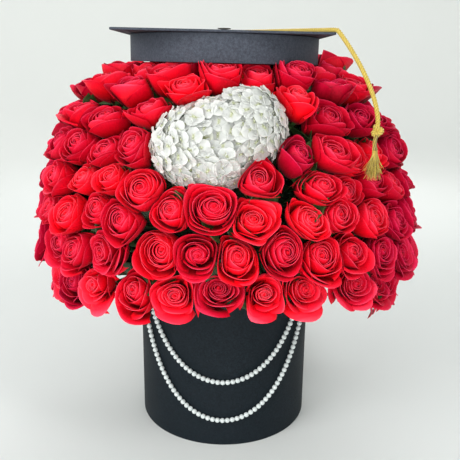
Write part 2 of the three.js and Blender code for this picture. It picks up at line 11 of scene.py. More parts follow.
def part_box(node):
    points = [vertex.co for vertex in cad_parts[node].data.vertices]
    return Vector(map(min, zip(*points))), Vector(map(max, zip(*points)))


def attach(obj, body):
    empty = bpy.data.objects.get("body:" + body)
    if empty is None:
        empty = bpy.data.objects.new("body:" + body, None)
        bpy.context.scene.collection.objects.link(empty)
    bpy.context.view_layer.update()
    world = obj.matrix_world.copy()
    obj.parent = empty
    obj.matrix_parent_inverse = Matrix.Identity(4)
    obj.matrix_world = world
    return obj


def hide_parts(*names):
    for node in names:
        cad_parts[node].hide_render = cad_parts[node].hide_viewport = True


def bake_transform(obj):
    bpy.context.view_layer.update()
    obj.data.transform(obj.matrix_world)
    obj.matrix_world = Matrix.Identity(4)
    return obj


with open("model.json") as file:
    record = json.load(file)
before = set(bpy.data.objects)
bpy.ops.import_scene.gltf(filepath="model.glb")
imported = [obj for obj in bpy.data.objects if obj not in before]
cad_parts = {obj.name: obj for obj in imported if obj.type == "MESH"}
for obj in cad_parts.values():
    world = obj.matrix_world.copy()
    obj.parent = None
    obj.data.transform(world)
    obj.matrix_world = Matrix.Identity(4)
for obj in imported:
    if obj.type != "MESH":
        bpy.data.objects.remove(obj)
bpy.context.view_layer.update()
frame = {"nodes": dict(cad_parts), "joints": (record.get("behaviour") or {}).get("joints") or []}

MM = 0.001
TAU = math.tau
SEED = 20
TINY = 1e-12  # keeps a division by a length of zero away
SKEW = (0.31, 0.53, 0.79)  # a direction that no path here starts along
SMOOTH_ANGLE = 40  # degrees; blunter edges than this are shaded smooth


# ---- meshes ----------------------------------------------------------------------------
class Skin:
    """Points, faces and numbers per point, gathered for one piece."""

    def __init__(self):
        self.points = []
        self.faces = []
        self.materials = []
        self.values = {}
        self.count = 0

    def add(self, points, faces, material=0, **values):
        """Adds points and groups of faces. material is one number, or one for each group."""
        points = np.asarray(points, float).reshape(-1, 3)
        for group, kind in zip(faces, np.broadcast_to(material, len(faces))):
            group = np.atleast_2d(group)
            self.faces.append(group + self.count)
            self.materials.append(np.full(len(group), kind))
        for name in set(values) | set(self.values):
            have = self.values.setdefault(name, [np.zeros(self.count)])
            have.append(np.broadcast_to(np.ravel(values.get(name, 0.0)), len(points)))
        self.points.append(points)
        self.count += len(points)

    def piece(self, name, body, materials, slot=None, sharp=None, node=None):
        """The gathered faces as one object that rides on a body and may stand for a CAD node."""
        mesh = bpy.data.meshes.new(name)
        corners = np.concatenate([face.ravel() for face in self.faces])
        sizes = np.concatenate([np.full(len(face), face.shape[1]) for face in self.faces])
        mesh.vertices.add(self.count)
        mesh.vertices.foreach_set("co", np.concatenate(self.points).astype(np.float32).ravel())
        mesh.loops.add(len(corners))
        mesh.loops.foreach_set("vertex_index", corners.astype(np.int32))
        mesh.polygons.add(len(sizes))
        mesh.polygons.foreach_set("loop_start", (np.cumsum(sizes) - sizes).astype(np.int32))
        mesh.polygons.foreach_set("material_index", np.concatenate(self.materials).astype(np.int32))
        for material in materials:
            mesh.materials.append(material)
        mesh.update(calc_edges=True)
        for key, parts in self.values.items():
            attribute = mesh.attributes.new(key, "FLOAT", "POINT")
            attribute.data.foreach_set("value", np.concatenate(parts).astype(np.float32))
        mesh.shade_smooth()
        if sharp:
            mesh.set_sharp_from_angle(angle=math.radians(sharp))
        piece = bpy.data.objects.new(name, mesh)
        bpy.context.scene.collection.objects.link(piece)
        if body:
            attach(piece, body)
        if node:
            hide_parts(node)
        return piece


def turn_to(direction):
    """The matrix that turns the Z axis to this direction."""
    return np.array(Vector((0, 0, 1)).rotation_difference(Vector(direction)).to_matrix())


def grid_faces(rows, columns, wrap=False):
    """Quads of a rows x columns grid of points. A wrapped grid joins its last column to its first."""
    row = np.arange(rows - 1)[:, None]
    column = np.arange(columns if wrap else columns - 1)[None, :]
    after = (column + 1) % columns
    corners = [row * columns + column, row * columns + after]
    corners += [(row + 1) * columns + after, (row + 1) * columns + column]
    return np.stack([np.broadcast_to(c, (rows - 1, column.size)) for c in corners], -1).reshape(-1, 4)


def shell_faces(rows, columns):
    """Quads of a thin closed sheet: an upper grid, a lower grid and the rim that joins them."""
    upper = grid_faces(rows, columns)
    lower = upper[:, ::-1] + rows * columns
    edge = list(range(columns)) + [r * columns + columns - 1 for r in range(1, rows)]
    edge += [(rows - 1) * columns + c for c in range(columns - 2, -1, -1)]
    edge += [r * columns for r in range(rows - 2, 0, -1)]
    edge = np.array(edge)
    after = np.roll(edge, -1)
    rim = np.stack([after, edge, edge + rows * columns, after + rows * columns], -1)
    return [upper, lower, rim]


def shell_points(middle, thickness):
    """Both sides of a sheet whose middle surface is a (rows, columns, 3) grid of points."""
    across = np.gradient(middle, axis=1)
    along = np.gradient(middle, axis=0)
    normal = np.cross(across, along)
    normal /= np.linalg.norm(normal, axis=2, keepdims=True) + TINY
    half = normal * thickness / 2
    return np.concatenate([(middle + half).reshape(-1, 3), (middle - half).reshape(-1, 3)])


def spun(angle, out, aside, height):
    """Points given by their distances out and aside, and their height, spun round the Z axis."""
    x = out * math.cos(angle) - aside * math.sin(angle)
    y = out * math.sin(angle) + aside * math.cos(angle)
    return np.stack(np.broadcast_arrays(x, y, height), -1)


def both_sides(values, shape):
    """Numbers on a grid of this shape, once for each side of a sheet."""
    return np.tile(np.broadcast_to(values, shape).ravel(), 2)


def tube_frames(path):
    """Side and across directions at each point of a path, carried along it without twisting."""
    along = np.gradient(path, axis=0)
    along /= np.linalg.norm(along, axis=1, keepdims=True)
    side = np.cross(along[0], SKEW)
    sides = []
    for direction in along:
        side = side - direction * (side @ direction)
        side = side / np.linalg.norm(side)
        sides.append(side)
    sides = np.array(sides)
    return sides, np.cross(along, sides)


def distance_along(path):
    """How far along the path each of its points lies."""
    return np.concatenate([[0], np.cumsum(np.linalg.norm(np.diff(path, axis=0), axis=1))])


def tube(path, radii, sides):
    """Points and faces of a closed tube along a path."""
    path = np.asarray(path, float)
    side, across = tube_frames(path)
    turn = np.arange(sides) * TAU / sides
    reach = np.broadcast_to(radii, len(path))[:, None, None]
    ring = side[:, None] * np.cos(turn)[None, :, None] + across[:, None] * np.sin(turn)[None, :, None]
    points = path[:, None] + ring * reach
    last = (len(path) - 1) * sides
    caps = [np.arange(sides)[::-1], last + np.arange(sides)]
    return points.reshape(-1, 3), [grid_faces(len(path), sides, wrap=True), *caps]


def rounded(profile, radius, steps):
    """A closed profile with each corner turned into a short arc of about this radius."""
    profile = np.array(profile, float)
    out = []
    for before, corner, after in zip(np.roll(profile, 1, 0), profile, np.roll(profile, -1, 0)):
        reach = min(radius, np.linalg.norm(before - corner) / 2.2, np.linalg.norm(after - corner) / 2.2)
        start = corner + (before - corner) / np.linalg.norm(before - corner) * reach
        end = corner + (after - corner) / np.linalg.norm(after - corner) * reach
        for s in np.linspace(0, 1, steps):
            out.append((1 - s) ** 2 * start + 2 * s * (1 - s) * corner + s * s * end)
    return np.array(out)


def ring_turned(profile, segments, swell=None):
    """A closed profile of (radius, height) turned round the Z axis. swell adds to the radius by angle."""
    turn = np.arange(segments) * TAU / segments
    extra = np.zeros(segments) if swell is None else swell(turn)
    outer = profile[:, 0] > (profile[:, 0].min() + profile[:, 0].max()) / 2
    radius = profile[:, 0][:, None] + extra[None, :] * outer[:, None]
    points = np.stack([radius * np.sin(turn), -radius * np.cos(turn),
                       np.broadcast_to(profile[:, 1][:, None], radius.shape)], -1)
    points = np.concatenate([points, points[:1]])
    faces = grid_faces(len(points), segments, wrap=True)
    count = len(profile) * segments
    return points[:-1].reshape(-1, 3), [faces % count]


def disc_turned(profile, segments):
    """An open profile of (radius, height), from near the axis round to near the axis, turned about Z."""
    turn = np.arange(segments) * TAU / segments
    radius = profile[:, 0][:, None]
    height = np.broadcast_to(profile[:, 1][:, None], (len(profile), segments))
    points = np.stack([radius * np.sin(turn), -radius * np.cos(turn), height], -1)
    last = (len(profile) - 1) * segments
    caps = [np.arange(segments)[::-1], last + np.arange(segments)]
    return points.reshape(-1, 3), [grid_faces(len(profile), segments, wrap=True), *caps]


# ---- materials -------------------------------------------------------------------------
class Surface:
    """A procedural material and short ways of adding nodes to it."""

    def __init__(self, name, roughness=0.6, **settings):
        self.material = bpy.data.materials.new(name)
        self.material.use_nodes = True
        self.tree = self.material.node_tree
        self.shader = self.tree.nodes["Principled BSDF"]
        self.put(self.shader, "Roughness", roughness)
        for key, value in settings.items():
            self.put(self.shader, key.replace("_", " "), value)

    def put(self, node, socket, value):
        target = node.inputs[socket]
        if isinstance(value, bpy.types.NodeSocket):
            self.tree.links.new(value, target)
        elif hasattr(target.default_value, "__len__") and len(target.default_value) == 4:
            target.default_value = (*value, 1.0)
        else:
            target.default_value = value

    def node(self, kind, inputs=None, **settings):
        node = self.tree.nodes.new(kind)
        for key, value in settings.items():
            setattr(node, key, value)
        for key, value in (inputs or {}).items():
            self.put(node, key, value)
        return node

    def number(self, name):
        return self.node("ShaderNodeAttribute", attribute_name=name).outputs["Fac"]

    def place(self):
        return self.node("ShaderNodeTexCoord").outputs["Object"]

    def vector(self, x, y=0.0, z=0.0):
        return self.node("ShaderNodeCombineXYZ", {0: x, 1: y, 2: z}).outputs[0]

    def times(self, value, factor):
        return self.maths("MULTIPLY", value, factor)

    def maths(self, operation, a, b=0.0, c=0.0):
        return self.node("ShaderNodeMath", {0: a, 1: b, 2: c}, operation=operation).outputs[0]

    def noise(self, vector, scale, detail=3.0, roughness=0.55):
        inputs = {"Vector": vector, "Scale": scale, "Detail": detail, "Roughness": roughness}
        return self.node("ShaderNodeTexNoise", inputs).outputs["Fac"]

    def ramp(self, factor, stops):
        node = self.node("ShaderNodeValToRGB", {"Fac": factor})
        bands = node.color_ramp.elements
        while len(bands) < len(stops):
            bands.new(0.5)
        for band, (position, colour) in zip(bands, stops):
            band.position = position
            band.color = (*colour, 1.0)
        return node.outputs["Color"]

    def mixed(self, factor, a, b, kind="MIX"):
        node = self.node("ShaderNodeMix", data_type="RGBA", blend_type=kind)
        for index, value in ((0, factor), (6, a), (7, b)):
            self.put(node, index, value)
        return node.outputs[2]

    def ranged(self, value, low, high):
        return self.node("ShaderNodeMapRange", {"Value": value, "To Min": low, "To Max": high}).outputs[0]

    def bumped(self, height, distance, strength):
        inputs = {"Height": height, "Distance": distance, "Strength": strength}
        self.put(self.shader, "Normal", self.node("ShaderNodeBump", inputs).outputs[0])

    def rough(self, value, low, high):
        self.put(self.shader, "Roughness", self.ranged(value, low, high))

    def colour(self, value):
        self.put(self.shader, "Base Color", value)
        return self.material


def textured_paper(name, dark, light, scuff, gloss):
    """Matt paper with a fine embossed grain, faint fibres and slightly worn, paler patches."""
    s = Surface(name, Specular_IOR_Level=gloss)
    place = s.place()
    grain = s.noise(place, 1 / (0.9 * MM), 4, 0.6)
    cloud = s.noise(place, 1 / (70 * MM), 3)
    fleck = s.noise(place, 1 / (2.5 * MM), 2, 0.7)
    s.bumped(s.maths("MULTIPLY_ADD", fleck, 0.6, grain), 0.18 * MM, 0.7)
    s.rough(cloud, 0.52, 0.72)
    weave = s.maths("MULTIPLY_ADD", fleck, 0.5, s.times(grain, 0.5))
    tone = s.ramp(weave, [(0.36, dark), (0.64, light)])
    worn = s.ramp(s.times(cloud, fleck), [(0.30, (0, 0, 0)), (0.46, scuff)])
    return s.colour(s.mixed(0.5, tone, worn, "ADD"))


def petal_material(name):
    """Velvety petals with fine veins: painted shade darkens them towards the heart, and a painted highlight
    turns their rims pale pink.
    """
    s = Surface(name, Specular_IOR_Level=0.13, Sheen_Weight=0.10, Sheen_Roughness=0.4)
    height = s.number("petal_height")
    streaks = s.vector(s.times(s.number("petal_across"), 11.0), s.times(height, 2.2), s.number("petal_seed"))
    veins = s.noise(streaks, 2.2, 4, 0.6)
    # Painted shade: both ramps darken towards the base of each petal and the heart of the rose; their pale
    # pink top end is a painted highlight on the rims.
    bright = s.ramp(height, [(0.0, (0.18, 0.0, 0.001)), (0.40, (0.72, 0.0, 0.004)),
                             (0.70, (0.98, 0.002, 0.014)), (0.93, (1.0, 0.014, 0.040)),
                             (1.0, (1.0, 0.075, 0.120))])
    deep = s.ramp(height, [(0.0, (0.05, 0.0, 0.001)), (0.40, (0.20, 0.0, 0.006)),
                           (0.70, (0.40, 0.0, 0.018)), (0.93, (0.56, 0.002, 0.036)),
                           (1.0, (0.74, 0.022, 0.100))])
    # Each rose leans towards the deeper ramp by its own random tone and by painted shade for roses at the
    # sides, at the back and high up.
    colour = s.mixed(s.number("rose_tone"), bright, deep)
    shade = s.node("ShaderNodeCombineColor", {k: s.ranged(veins, 0.74, 1.20) for k in range(3)}).outputs[0]
    s.rough(veins, 0.38, 0.62)
    s.put(s.shader, "Sheen Tint", (1.0, 0.16, 0.26))
    s.bumped(veins, 0.5 * MM, 0.5)
    return s.colour(s.mixed(1.0, colour, shade, "MULTIPLY"))


def leaf_material(name):
    """Waxy dark green with a paler midrib and side veins."""
    s = Surface(name, 0.42, Specular_IOR_Level=0.45)
    chevron = s.vector(s.maths("ADD", s.number("leaf_along"), s.maths("ABSOLUTE", s.number("leaf_across"))))
    veins = s.node("ShaderNodeTexWave", {"Vector": chevron, "Scale": 2.6, "Distortion": 0.6},
                   bands_direction="X").outputs["Fac"]
    blotch = s.noise(s.place(), 1 / (9 * MM), 3)
    green = s.mixed(blotch, (0.007, 0.028, 0.007), (0.030, 0.078, 0.018))
    s.bumped(veins, 0.3 * MM, 0.4)
    return s.colour(s.mixed(s.ranged(veins, 0.0, 0.25), green, (0.10, 0.19, 0.05)))


def hydrangea_material(name):
    """Thin white petals, greener towards their centre, with faint veins."""
    s = Surface(name, 0.6, Specular_IOR_Level=0.2, Subsurface_Weight=0.5, Subsurface_Scale=6 * MM)
    s.shader.inputs["Subsurface Radius"].default_value = (1.0, 1.0, 1.0)
    height = s.number("petal_height")
    veins = s.noise(s.vector(s.times(s.number("petal_across"), 7.0), height, s.number("petal_seed")), 2.5)
    white = s.mixed(veins, (0.66, 0.68, 0.65), (0.73, 0.74, 0.71))
    heart = s.ramp(height, [(0.0, (0.62, 0.68, 0.30)), (0.10, (0.90, 0.91, 0.72)), (0.26, (1.0, 1.0, 1.0))])
    s.bumped(veins, 0.4 * MM, 0.5)
    return s.colour(s.mixed(1.0, white, heart, "MULTIPLY"))


def thread_material(name, bright, groove_shade_and_dark_fibre, sheen):
    """Lustrous twisted yarn with painted shade down in the grooves between its strands and a painted
    highlight on their crowns.
    """
    s = Surface(name, 0.38, Specular_IOR_Level=0.6, Sheen_Weight=sheen)
    depth = s.number("strand_height")
    fibres = s.noise(s.vector(s.times(s.number("fibre_turn"), 9.0), s.number("fibre_along")), 3.0, 3)
    s.bumped(fibres, 0.25 * MM, 0.8)
    # Painted shade in the grooves, by the height of each point above the rope's axis, and a painted highlight
    # a quarter brighter on the strands' crowns.
    tone = s.ramp(depth, [(0.58, groove_shade_and_dark_fibre), (0.82, bright), (1.0, tuple(min(1, c * 1.25) for c in bright))])
    return s.colour(s.mixed(s.ranged(fibres, 0.0, 0.55), tone, groove_shade_and_dark_fibre))


def pearl_material(name):
    """Glossy beads, painted paler towards their edges as a painted sheen."""
    s = Surface(name, 0.20, Coat_Weight=0.35, Coat_Roughness=0.12, Specular_IOR_Level=0.5)
    # Painted sheen: the beads' edges, turned away from the view, are painted paler.
    facing = s.node("ShaderNodeLayerWeight", {"Blend": 0.45}).outputs["Facing"]
    cloud = s.noise(s.place(), 1 / (4 * MM), 2)
    tint = s.mixed(cloud, (0.47, 0.53, 0.52), (0.60, 0.62, 0.62))
    s.rough(cloud, 0.22, 0.36)
    return s.colour(s.mixed(facing, tint, (0.66, 0.73, 0.73)))


def metal_material(name):
    """Bright plated metal with fine scratches."""
    s = Surface(name, 0.3, Metallic=1.0)
    scratches = s.noise(s.place(), 1 / (0.8 * MM), 4)
    s.rough(scratches, 0.18, 0.42)
    return s.colour(s.mixed(scratches, (0.50, 0.51, 0.53), (0.68, 0.69, 0.70)))


def foam_material(name):
    """Open green foam: pores down to half a millimetre, painted darker down in each pore as painted shade."""
    s = Surface(name, 0.95)
    cells = s.node("ShaderNodeTexVoronoi", {"Vector": s.place(), "Scale": 1 / (1.6 * MM)}).outputs["Distance"]
    s.bumped(cells, 0.6 * MM, 0.9)
    # Painted shade: the colour darkens towards the bottom of each pore.
    return s.colour(s.ramp(cells, [(0.0, (0.006, 0.020, 0.009)), (0.6, (0.022, 0.070, 0.030))]))


def liner_material(name):
    """Thin cloudy plastic that lets some light through."""
    s = Surface(name, 0.3, Transmission_Weight=0.35)
    cloud = s.noise(s.place(), 1 / (25 * MM), 2)
    s.rough(cloud, 0.22, 0.45)
    return s.colour(s.mixed(cloud, (0.28, 0.34, 0.36), (0.42, 0.50, 0.52)))


def stage_material(name, colour, backdrop):
    """A plain floor, painted darker near the box as painted shade and paler far out as painted light."""
    s = Surface(name, 0.8, Specular_IOR_Level=0.2)
    cloud = s.noise(s.place(), 1.4, 2)
    away = s.node("ShaderNodeVectorMath", {0: s.place()}, operation="LENGTH").outputs["Value"]
    # Painted shade near the box and painted light far out: the colour grows paler with distance from the
    # box's axis.
    grey = s.ramp(s.times(away, 0.4), [(0.12, colour), (0.9, backdrop)])
    return s.colour(s.mixed(s.ranged(cloud, 0.0, 0.02), grey, (0.5, 0.5, 0.5)))


black_paper = textured_paper("black_paper", (0.0010, 0.0034, 0.0060), (0.0072, 0.0130, 0.0180),
                             (0.003, 0.005, 0.006), 0.17)
charcoal_board = textured_paper("charcoal_board", (0.030, 0.036, 0.048), (0.064, 0.073, 0.094),
                                (0.014, 0.015, 0.017), 0.14)
board_lining = textured_paper("board_lining", (0.030, 0.026, 0.030), (0.062, 0.054, 0.060),
                              (0.01, 0.01, 0.01), 0.17)
red_petal = petal_material("red_petal")
green_leaf = leaf_material("green_leaf")
white_petal = hydrangea_material("white_petal")
# The second colour of each thread is its painted groove shade, also used for its darker fibres.
gold_cord = thread_material("gold_cord", (0.56, 0.41, 0.055), (0.085, 0.055, 0.004), 0.15)
pearl_thread = thread_material("pearl_thread", (0.72, 0.72, 0.70), (0.35, 0.35, 0.34), 0.1)
button_cloth = thread_material("button_cloth", (0.030, 0.032, 0.036), (0.008, 0.009, 0.010), 0.3)
pearl = pearl_material("pearl")
silver_metal = metal_material("silver_metal")
floral_foam = foam_material("floral_foam")
liner_plastic = liner_material("liner_plastic")


# ---- measures read from the frame ------------------------------------------------------
def cad_points(node):
    mesh = frame["nodes"][node].data
    points = np.zeros(len(mesh.vertices) * 3)
    mesh.vertices.foreach_get("co", points)
    return points.reshape(-1, 3)


def cad_triangles(node):
    mesh = frame["nodes"][node].data
    mesh.calc_loop_triangles()
    corners = np.zeros(len(mesh.loop_triangles) * 3, int)
    mesh.loop_triangles.foreach_get("vertices", corners)
    return cad_points(node)[corners.reshape(-1, 3)]


def joint(name):
    return next(j for j in frame["joints"] if j["name"] == name)


BOX_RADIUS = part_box("box_wall")[1].x
BOX_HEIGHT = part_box("box_wall")[1].z
CROWN_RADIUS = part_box("foam_crown")[1].x
CROWN_CENTRE = np.array([0.0, 0.0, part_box("foam_crown")[1].z - CROWN_RADIUS])

# The lid's own frame: its upright axis, and a point on it at the height of the cord.
LID_UP = np.array(joint("tassel_turn")["axis"])
LID_ACROSS = np.array([LID_UP[2], 0.0, -LID_UP[0]])
LID_BACK = np.cross(LID_UP, LID_ACROSS)
LID_FRAME = np.stack([LID_ACROSS, LID_BACK, LID_UP])
LID_POINT = np.array(joint("tassel_turn")["pos_m"])


def in_lid(points):
    return (points - LID_POINT) @ LID_FRAME.T


def from_lid(points):
    return np.asarray(points) @ LID_FRAME + LID_POINT


def lid_box(node):
    """Lowest and highest corners of a node's box in the lid's own frame."""
    points = in_lid(cad_points(node))
    return points.min(0), points.max(0)


# ---- the box ---------------------------------------------------------------------------
ROUND_SEGMENTS = 160
BOARD = 2.5 * MM
LAP_WIDTH = 14 * MM
LAP_STEP = 0.3 * MM
LAP_FADE = 4 * MM
WALL_WAIST = 0.075 * MM  # the wall draws in this much at half height
HOLE_RADIUS = 3.3 * MM
EYELETS = [f"eyelet_{strand}_{side}" for strand in ("upper", "lower") for side in ("left", "right")]
EYELET_HOLE = 2.2 * MM
EYELET_BARREL = 2.9 * MM
EYELET_FLANGE = 4.2 * MM
LINER = 0.9 * MM
AXIS_HOLE = 0.4 * MM  # a turned plate ends this close to its axis, under its cap
CROWN_WAVES = np.array([(210, 60, 90), (-80, 190, 130), (120, -160, 230)])  # radians per metre


def paper_lap(radius, at):
    """The wrapping paper overlaps itself by a narrow strip, one sheet thicker, at this angle."""
    def swell(turn):
        away = np.abs((turn - at + math.pi) % TAU - math.pi) * radius
        return LAP_STEP * np.clip((LAP_WIDTH / 2 - away) / LAP_FADE + 0.5, 0, 1)
    return swell


def build_wall():
    inner = BOX_RADIUS - BOARD
    outline = [(inner, 0), (BOX_RADIUS, 0), (BOX_RADIUS, BOX_HEIGHT), (inner, BOX_HEIGHT)]
    profile = rounded(outline, 0.8 * MM, 5)
    heights = np.linspace(0.06, 0.94, 8)
    outside = [(BOX_RADIUS - WALL_WAIST * math.sin(math.pi * h) ** 2, BOX_HEIGHT * h) for h in heights]
    profile = np.concatenate([profile[:10], outside, profile[10:]])
    skin = Skin()
    skin.add(*ring_turned(profile, ROUND_SEGMENTS, paper_lap(BOX_RADIUS, math.pi * 0.93)))
    wall = skin.piece("box_wall_paper", "flower_box", [black_paper], "black_paper", SMOOTH_ANGLE, "box_wall")
    for node in EYELETS:
        cut_hole(wall, node)


def cut_hole(wall, node):
    """A round hole through the wall for this eyelet."""
    outward, height = eyelet_direction(node)
    skin = Skin()
    ends = [outward * (BOX_RADIUS + step) + (0, 0, height) for step in (-14 * MM, 14 * MM)]
    skin.add(*tube(ends, HOLE_RADIUS, 24))
    cutter = skin.piece("cutter", None, [])
    bpy.context.view_layer.objects.active = wall
    modifier = wall.modifiers.new("hole", "BOOLEAN")
    modifier.operation = "DIFFERENCE"
    modifier.solver = "EXACT"
    modifier.object = cutter
    bpy.ops.object.modifier_apply(modifier="hole")
    bpy.data.objects.remove(cutter)


def eyelet_direction(node):
    """Level direction from the box's axis to an eyelet, and its height."""
    low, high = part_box(node)
    middle = (low + high) / 2
    return np.array(Vector((middle.x, middle.y, 0)).normalized()), middle.z


def build_eyelets():
    inner = BOX_RADIUS - BOARD - 0.4 * MM
    seat = BOX_RADIUS + 0.3 * MM
    outline = [(EYELET_HOLE, inner), (EYELET_BARREL, inner), (EYELET_BARREL, seat), (EYELET_FLANGE, seat),
               (EYELET_FLANGE - 0.1 * MM, seat + 0.6 * MM), (EYELET_HOLE + 0.1 * MM, seat + 0.75 * MM)]
    points, faces = ring_turned(rounded(outline, 0.35 * MM, 5), 36)
    for node in EYELETS:
        outward, height = eyelet_direction(node)
        skin = Skin()
        skin.add(points @ turn_to(outward).T + (0, 0, height), faces)
        skin.piece(node + "_ring", "flower_box", [silver_metal], "silver_metal", 50, node)


def smooth_disc(name, node, material, slot, corner):
    """A smooth round plate in the place of a faceted one. The lid's plate leans with the lid."""
    on_lid = node == "lid_top_disc"
    points = in_lid(cad_points(node)) if on_lid else cad_points(node)
    low, high = points.min(0), points.max(0)
    middle = (low + high) / 2
    radius = (high[0] - low[0]) / 2
    outline = [(AXIS_HOLE, low[2]), (radius, low[2]), (radius, high[2]), (AXIS_HOLE, high[2])]
    profile = rounded(outline, corner, 5)[5:-5]
    under = [(radius * share, low[2]) for share in (0.02, 0.35, 0.7)]
    over = [(radius * share, high[2]) for share in (0.7, 0.35, 0.02)]
    points, faces = disc_turned(np.concatenate([under, profile, over]), ROUND_SEGMENTS)
    points = points + (middle[0], middle[1], 0)
    skin = Skin()
    skin.add(from_lid(points) if on_lid else points, faces)
    skin.piece(name, "lid" if on_lid else "flower_box", [material], slot, SMOOTH_ANGLE, node)


def build_liner():
    low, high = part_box("inner_liner")
    radius = high.x
    outline = [(1 * MM, low.z), (radius, low.z), (radius, high.z), (radius - LINER, high.z),
               (radius - LINER, low.z + LINER), (1 * MM, low.z + LINER)]
    skin = Skin()
    skin.add(*disc_turned(rounded(outline, 0.35 * MM, 3)[3:-3], ROUND_SEGMENTS))
    skin.piece("liner_cup", "flower_box", [liner_plastic], "liner_plastic", SMOOTH_ANGLE, "inner_liner")


def build_crown():
    """The rounded top of the foam, a little lumpy where it was shaved by hand."""
    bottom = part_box("foam_crown")[0].z
    start = math.asin((bottom - CROWN_CENTRE[2]) / CROWN_RADIUS)
    rise = np.linspace(start, TAU / 4 - 0.02, 30)
    profile = np.stack([CROWN_RADIUS * np.cos(rise), CROWN_CENTRE[2] + CROWN_RADIUS * np.sin(rise)], -1)
    under = [(share * profile[0, 0], bottom) for share in (0.02, 0.5)]
    points, faces = disc_turned(np.concatenate([under, profile]), 72)
    outward = points - CROWN_CENTRE
    lumps = sum(np.sin(outward @ wave) for wave in CROWN_WAVES)
    shaved = (1.2 * MM + 0.5 * MM * lumps[:, None]) * (outward[:, 2:] > -0.04)
    skin = Skin()
    skin.add(points - outward / CROWN_RADIUS * shaved, faces)
    skin.piece("foam_dome", "flower_box", [floral_foam], "floral_foam", SMOOTH_ANGLE, "foam_crown")


# ---- pearl strands ---------------------------------------------------------------------
BEAD_RADIUS = 3.0 * MM
BEAD_PITCH = 6 * MM
BEAD_HOLE = 0.55 * MM
STRAND_GAP = 0.4 * MM  # between the beads and the wall
BEAD_SIDES = 18
THREAD_RADIUS = 0.45 * MM
THREAD_KNOT = 2.0 * MM
THREAD_ENDS = BOX_RADIUS + 2 * MM, BOX_RADIUS - 3 * MM, 103.2 * MM, 101.6 * MM  # from the box's axis
CATENARY_LOW = 1 / 8  # the search's two ends, in half spans
CATENARY_HIGH = 20
CATENARY_STEPS = 60


def chain(name):
    """Points at a given distance along the strand from its lowest point, and its half length."""
    outward, top = eyelet_direction(f"eyelet_{name}_right")
    radius = BOX_RADIUS + BEAD_RADIUS + STRAND_GAP
    half_span = math.atan2(outward[0], -outward[1]) * radius
    lowest = cad_points(f"pearl_strand_{name}")[:, 2].min() + BEAD_RADIUS * 0.97
    low, high = half_span * CATENARY_LOW, half_span * CATENARY_HIGH
    for _ in range(CATENARY_STEPS):
        parameter = (low + high) / 2
        if parameter * (math.cosh(half_span / parameter) - 1) > top - lowest:
            low = parameter
        else:
            high = parameter

    def point(distance):
        across = parameter * np.arcsinh(np.asarray(distance) / parameter)
        height = lowest + parameter * (np.cosh(across / parameter) - 1)
        angle = across / radius
        return np.stack([radius * np.sin(angle), -radius * np.cos(angle), height], -1)

    return point, parameter * math.sinh(half_span / parameter)


def build_strand(name):
    point, half_length = chain(name)
    beads = 2 * int((half_length - BEAD_PITCH * 0.4) / BEAD_PITCH) + 1
    bow = np.linspace(-TAU / 4, TAU / 4, 13)
    radii = np.maximum(BEAD_RADIUS * np.cos(bow), BEAD_HOLE)
    outside = np.stack([radii, BEAD_RADIUS * np.sin(bow)], -1)
    hole = BEAD_RADIUS * 0.6
    ball, ball_faces = disc_turned(np.array([(BEAD_HOLE, -hole), *outside, (BEAD_HOLE, hole)]), BEAD_SIDES)
    skin = Skin()
    for bead in range(beads):
        distance = (bead + 0.5 - beads / 2) * BEAD_PITCH
        turn = turn_to(point(distance + MM) - point(distance - MM))
        skin.add(ball @ turn.T + point(distance), ball_faces)
    line = point(np.linspace(-beads / 2 * BEAD_PITCH, beads / 2 * BEAD_PITCH, beads * 2 + 1))
    ends = []
    for side in ("left", "right"):
        outward, height = eyelet_direction(f"eyelet_{name}_{side}")
        ends.append([outward * reach + (0, 0, height) for reach in THREAD_ENDS])
    path = np.concatenate([ends[0][::-1], line, ends[1]])
    widths = np.full(len(path), THREAD_RADIUS)
    widths[[1, -2]] = THREAD_KNOT
    points, faces = tube(path, widths, 8)
    skin.add(points, faces, 1, strand_height=0.7)
    skin.piece(f"pearls_{name}", f"pearls_{name}", [pearl, pearl_thread], "pearl", 60, f"pearl_strand_{name}")


# ---- the lid ---------------------------------------------------------------------------
BAND_LOW, BAND_HIGH = lid_box("lid_band")
BAND_MIDDLE = (BAND_LOW + BAND_HIGH) / 2
BAND_RADIUS = (BAND_HIGH[0] - BAND_LOW[0]) / 2
CORNER_STEPS = 8
SIDE_STEPS = 14
BOARD_CORNER = 4 * MM
BOARD_RIM = 3 * MM  # the board's soft edge starts this far in
TURN_IN = 16 * MM  # of the wrapping paper, over the underside
SHEET = 0.25 * MM
CAP_HOLE = 0.3 * MM
BUTTON_FLATTER = 1.3 * MM  # the button's covering is drawn down by this much
BUTTON_RISE = 6.0 * MM  # from the board to the underside of the cap
BUTTON_NECK = 3 * MM
BUTTON_EDGE = 0.9 * MM


def build_band():
    low, high = BAND_LOW[2], BAND_HIGH[2]
    inner = np.linalg.norm((in_lid(cad_points("lid_band")) - BAND_MIDDLE)[:, :2], axis=1).min()
    profile = rounded([(inner, low), (BAND_RADIUS, low), (BAND_RADIUS, high), (inner, high)], 0.6 * MM, 5)
    points, faces = ring_turned(profile, ROUND_SEGMENTS, paper_lap(BAND_RADIUS, math.pi * 0.9))
    skin = Skin()
    skin.add(from_lid(points + BAND_MIDDLE * (1, 1, 0)), faces)
    skin.piece("lid_band_paper", "lid", [charcoal_board], "charcoal_board", SMOOTH_ANGLE, "lid_band")


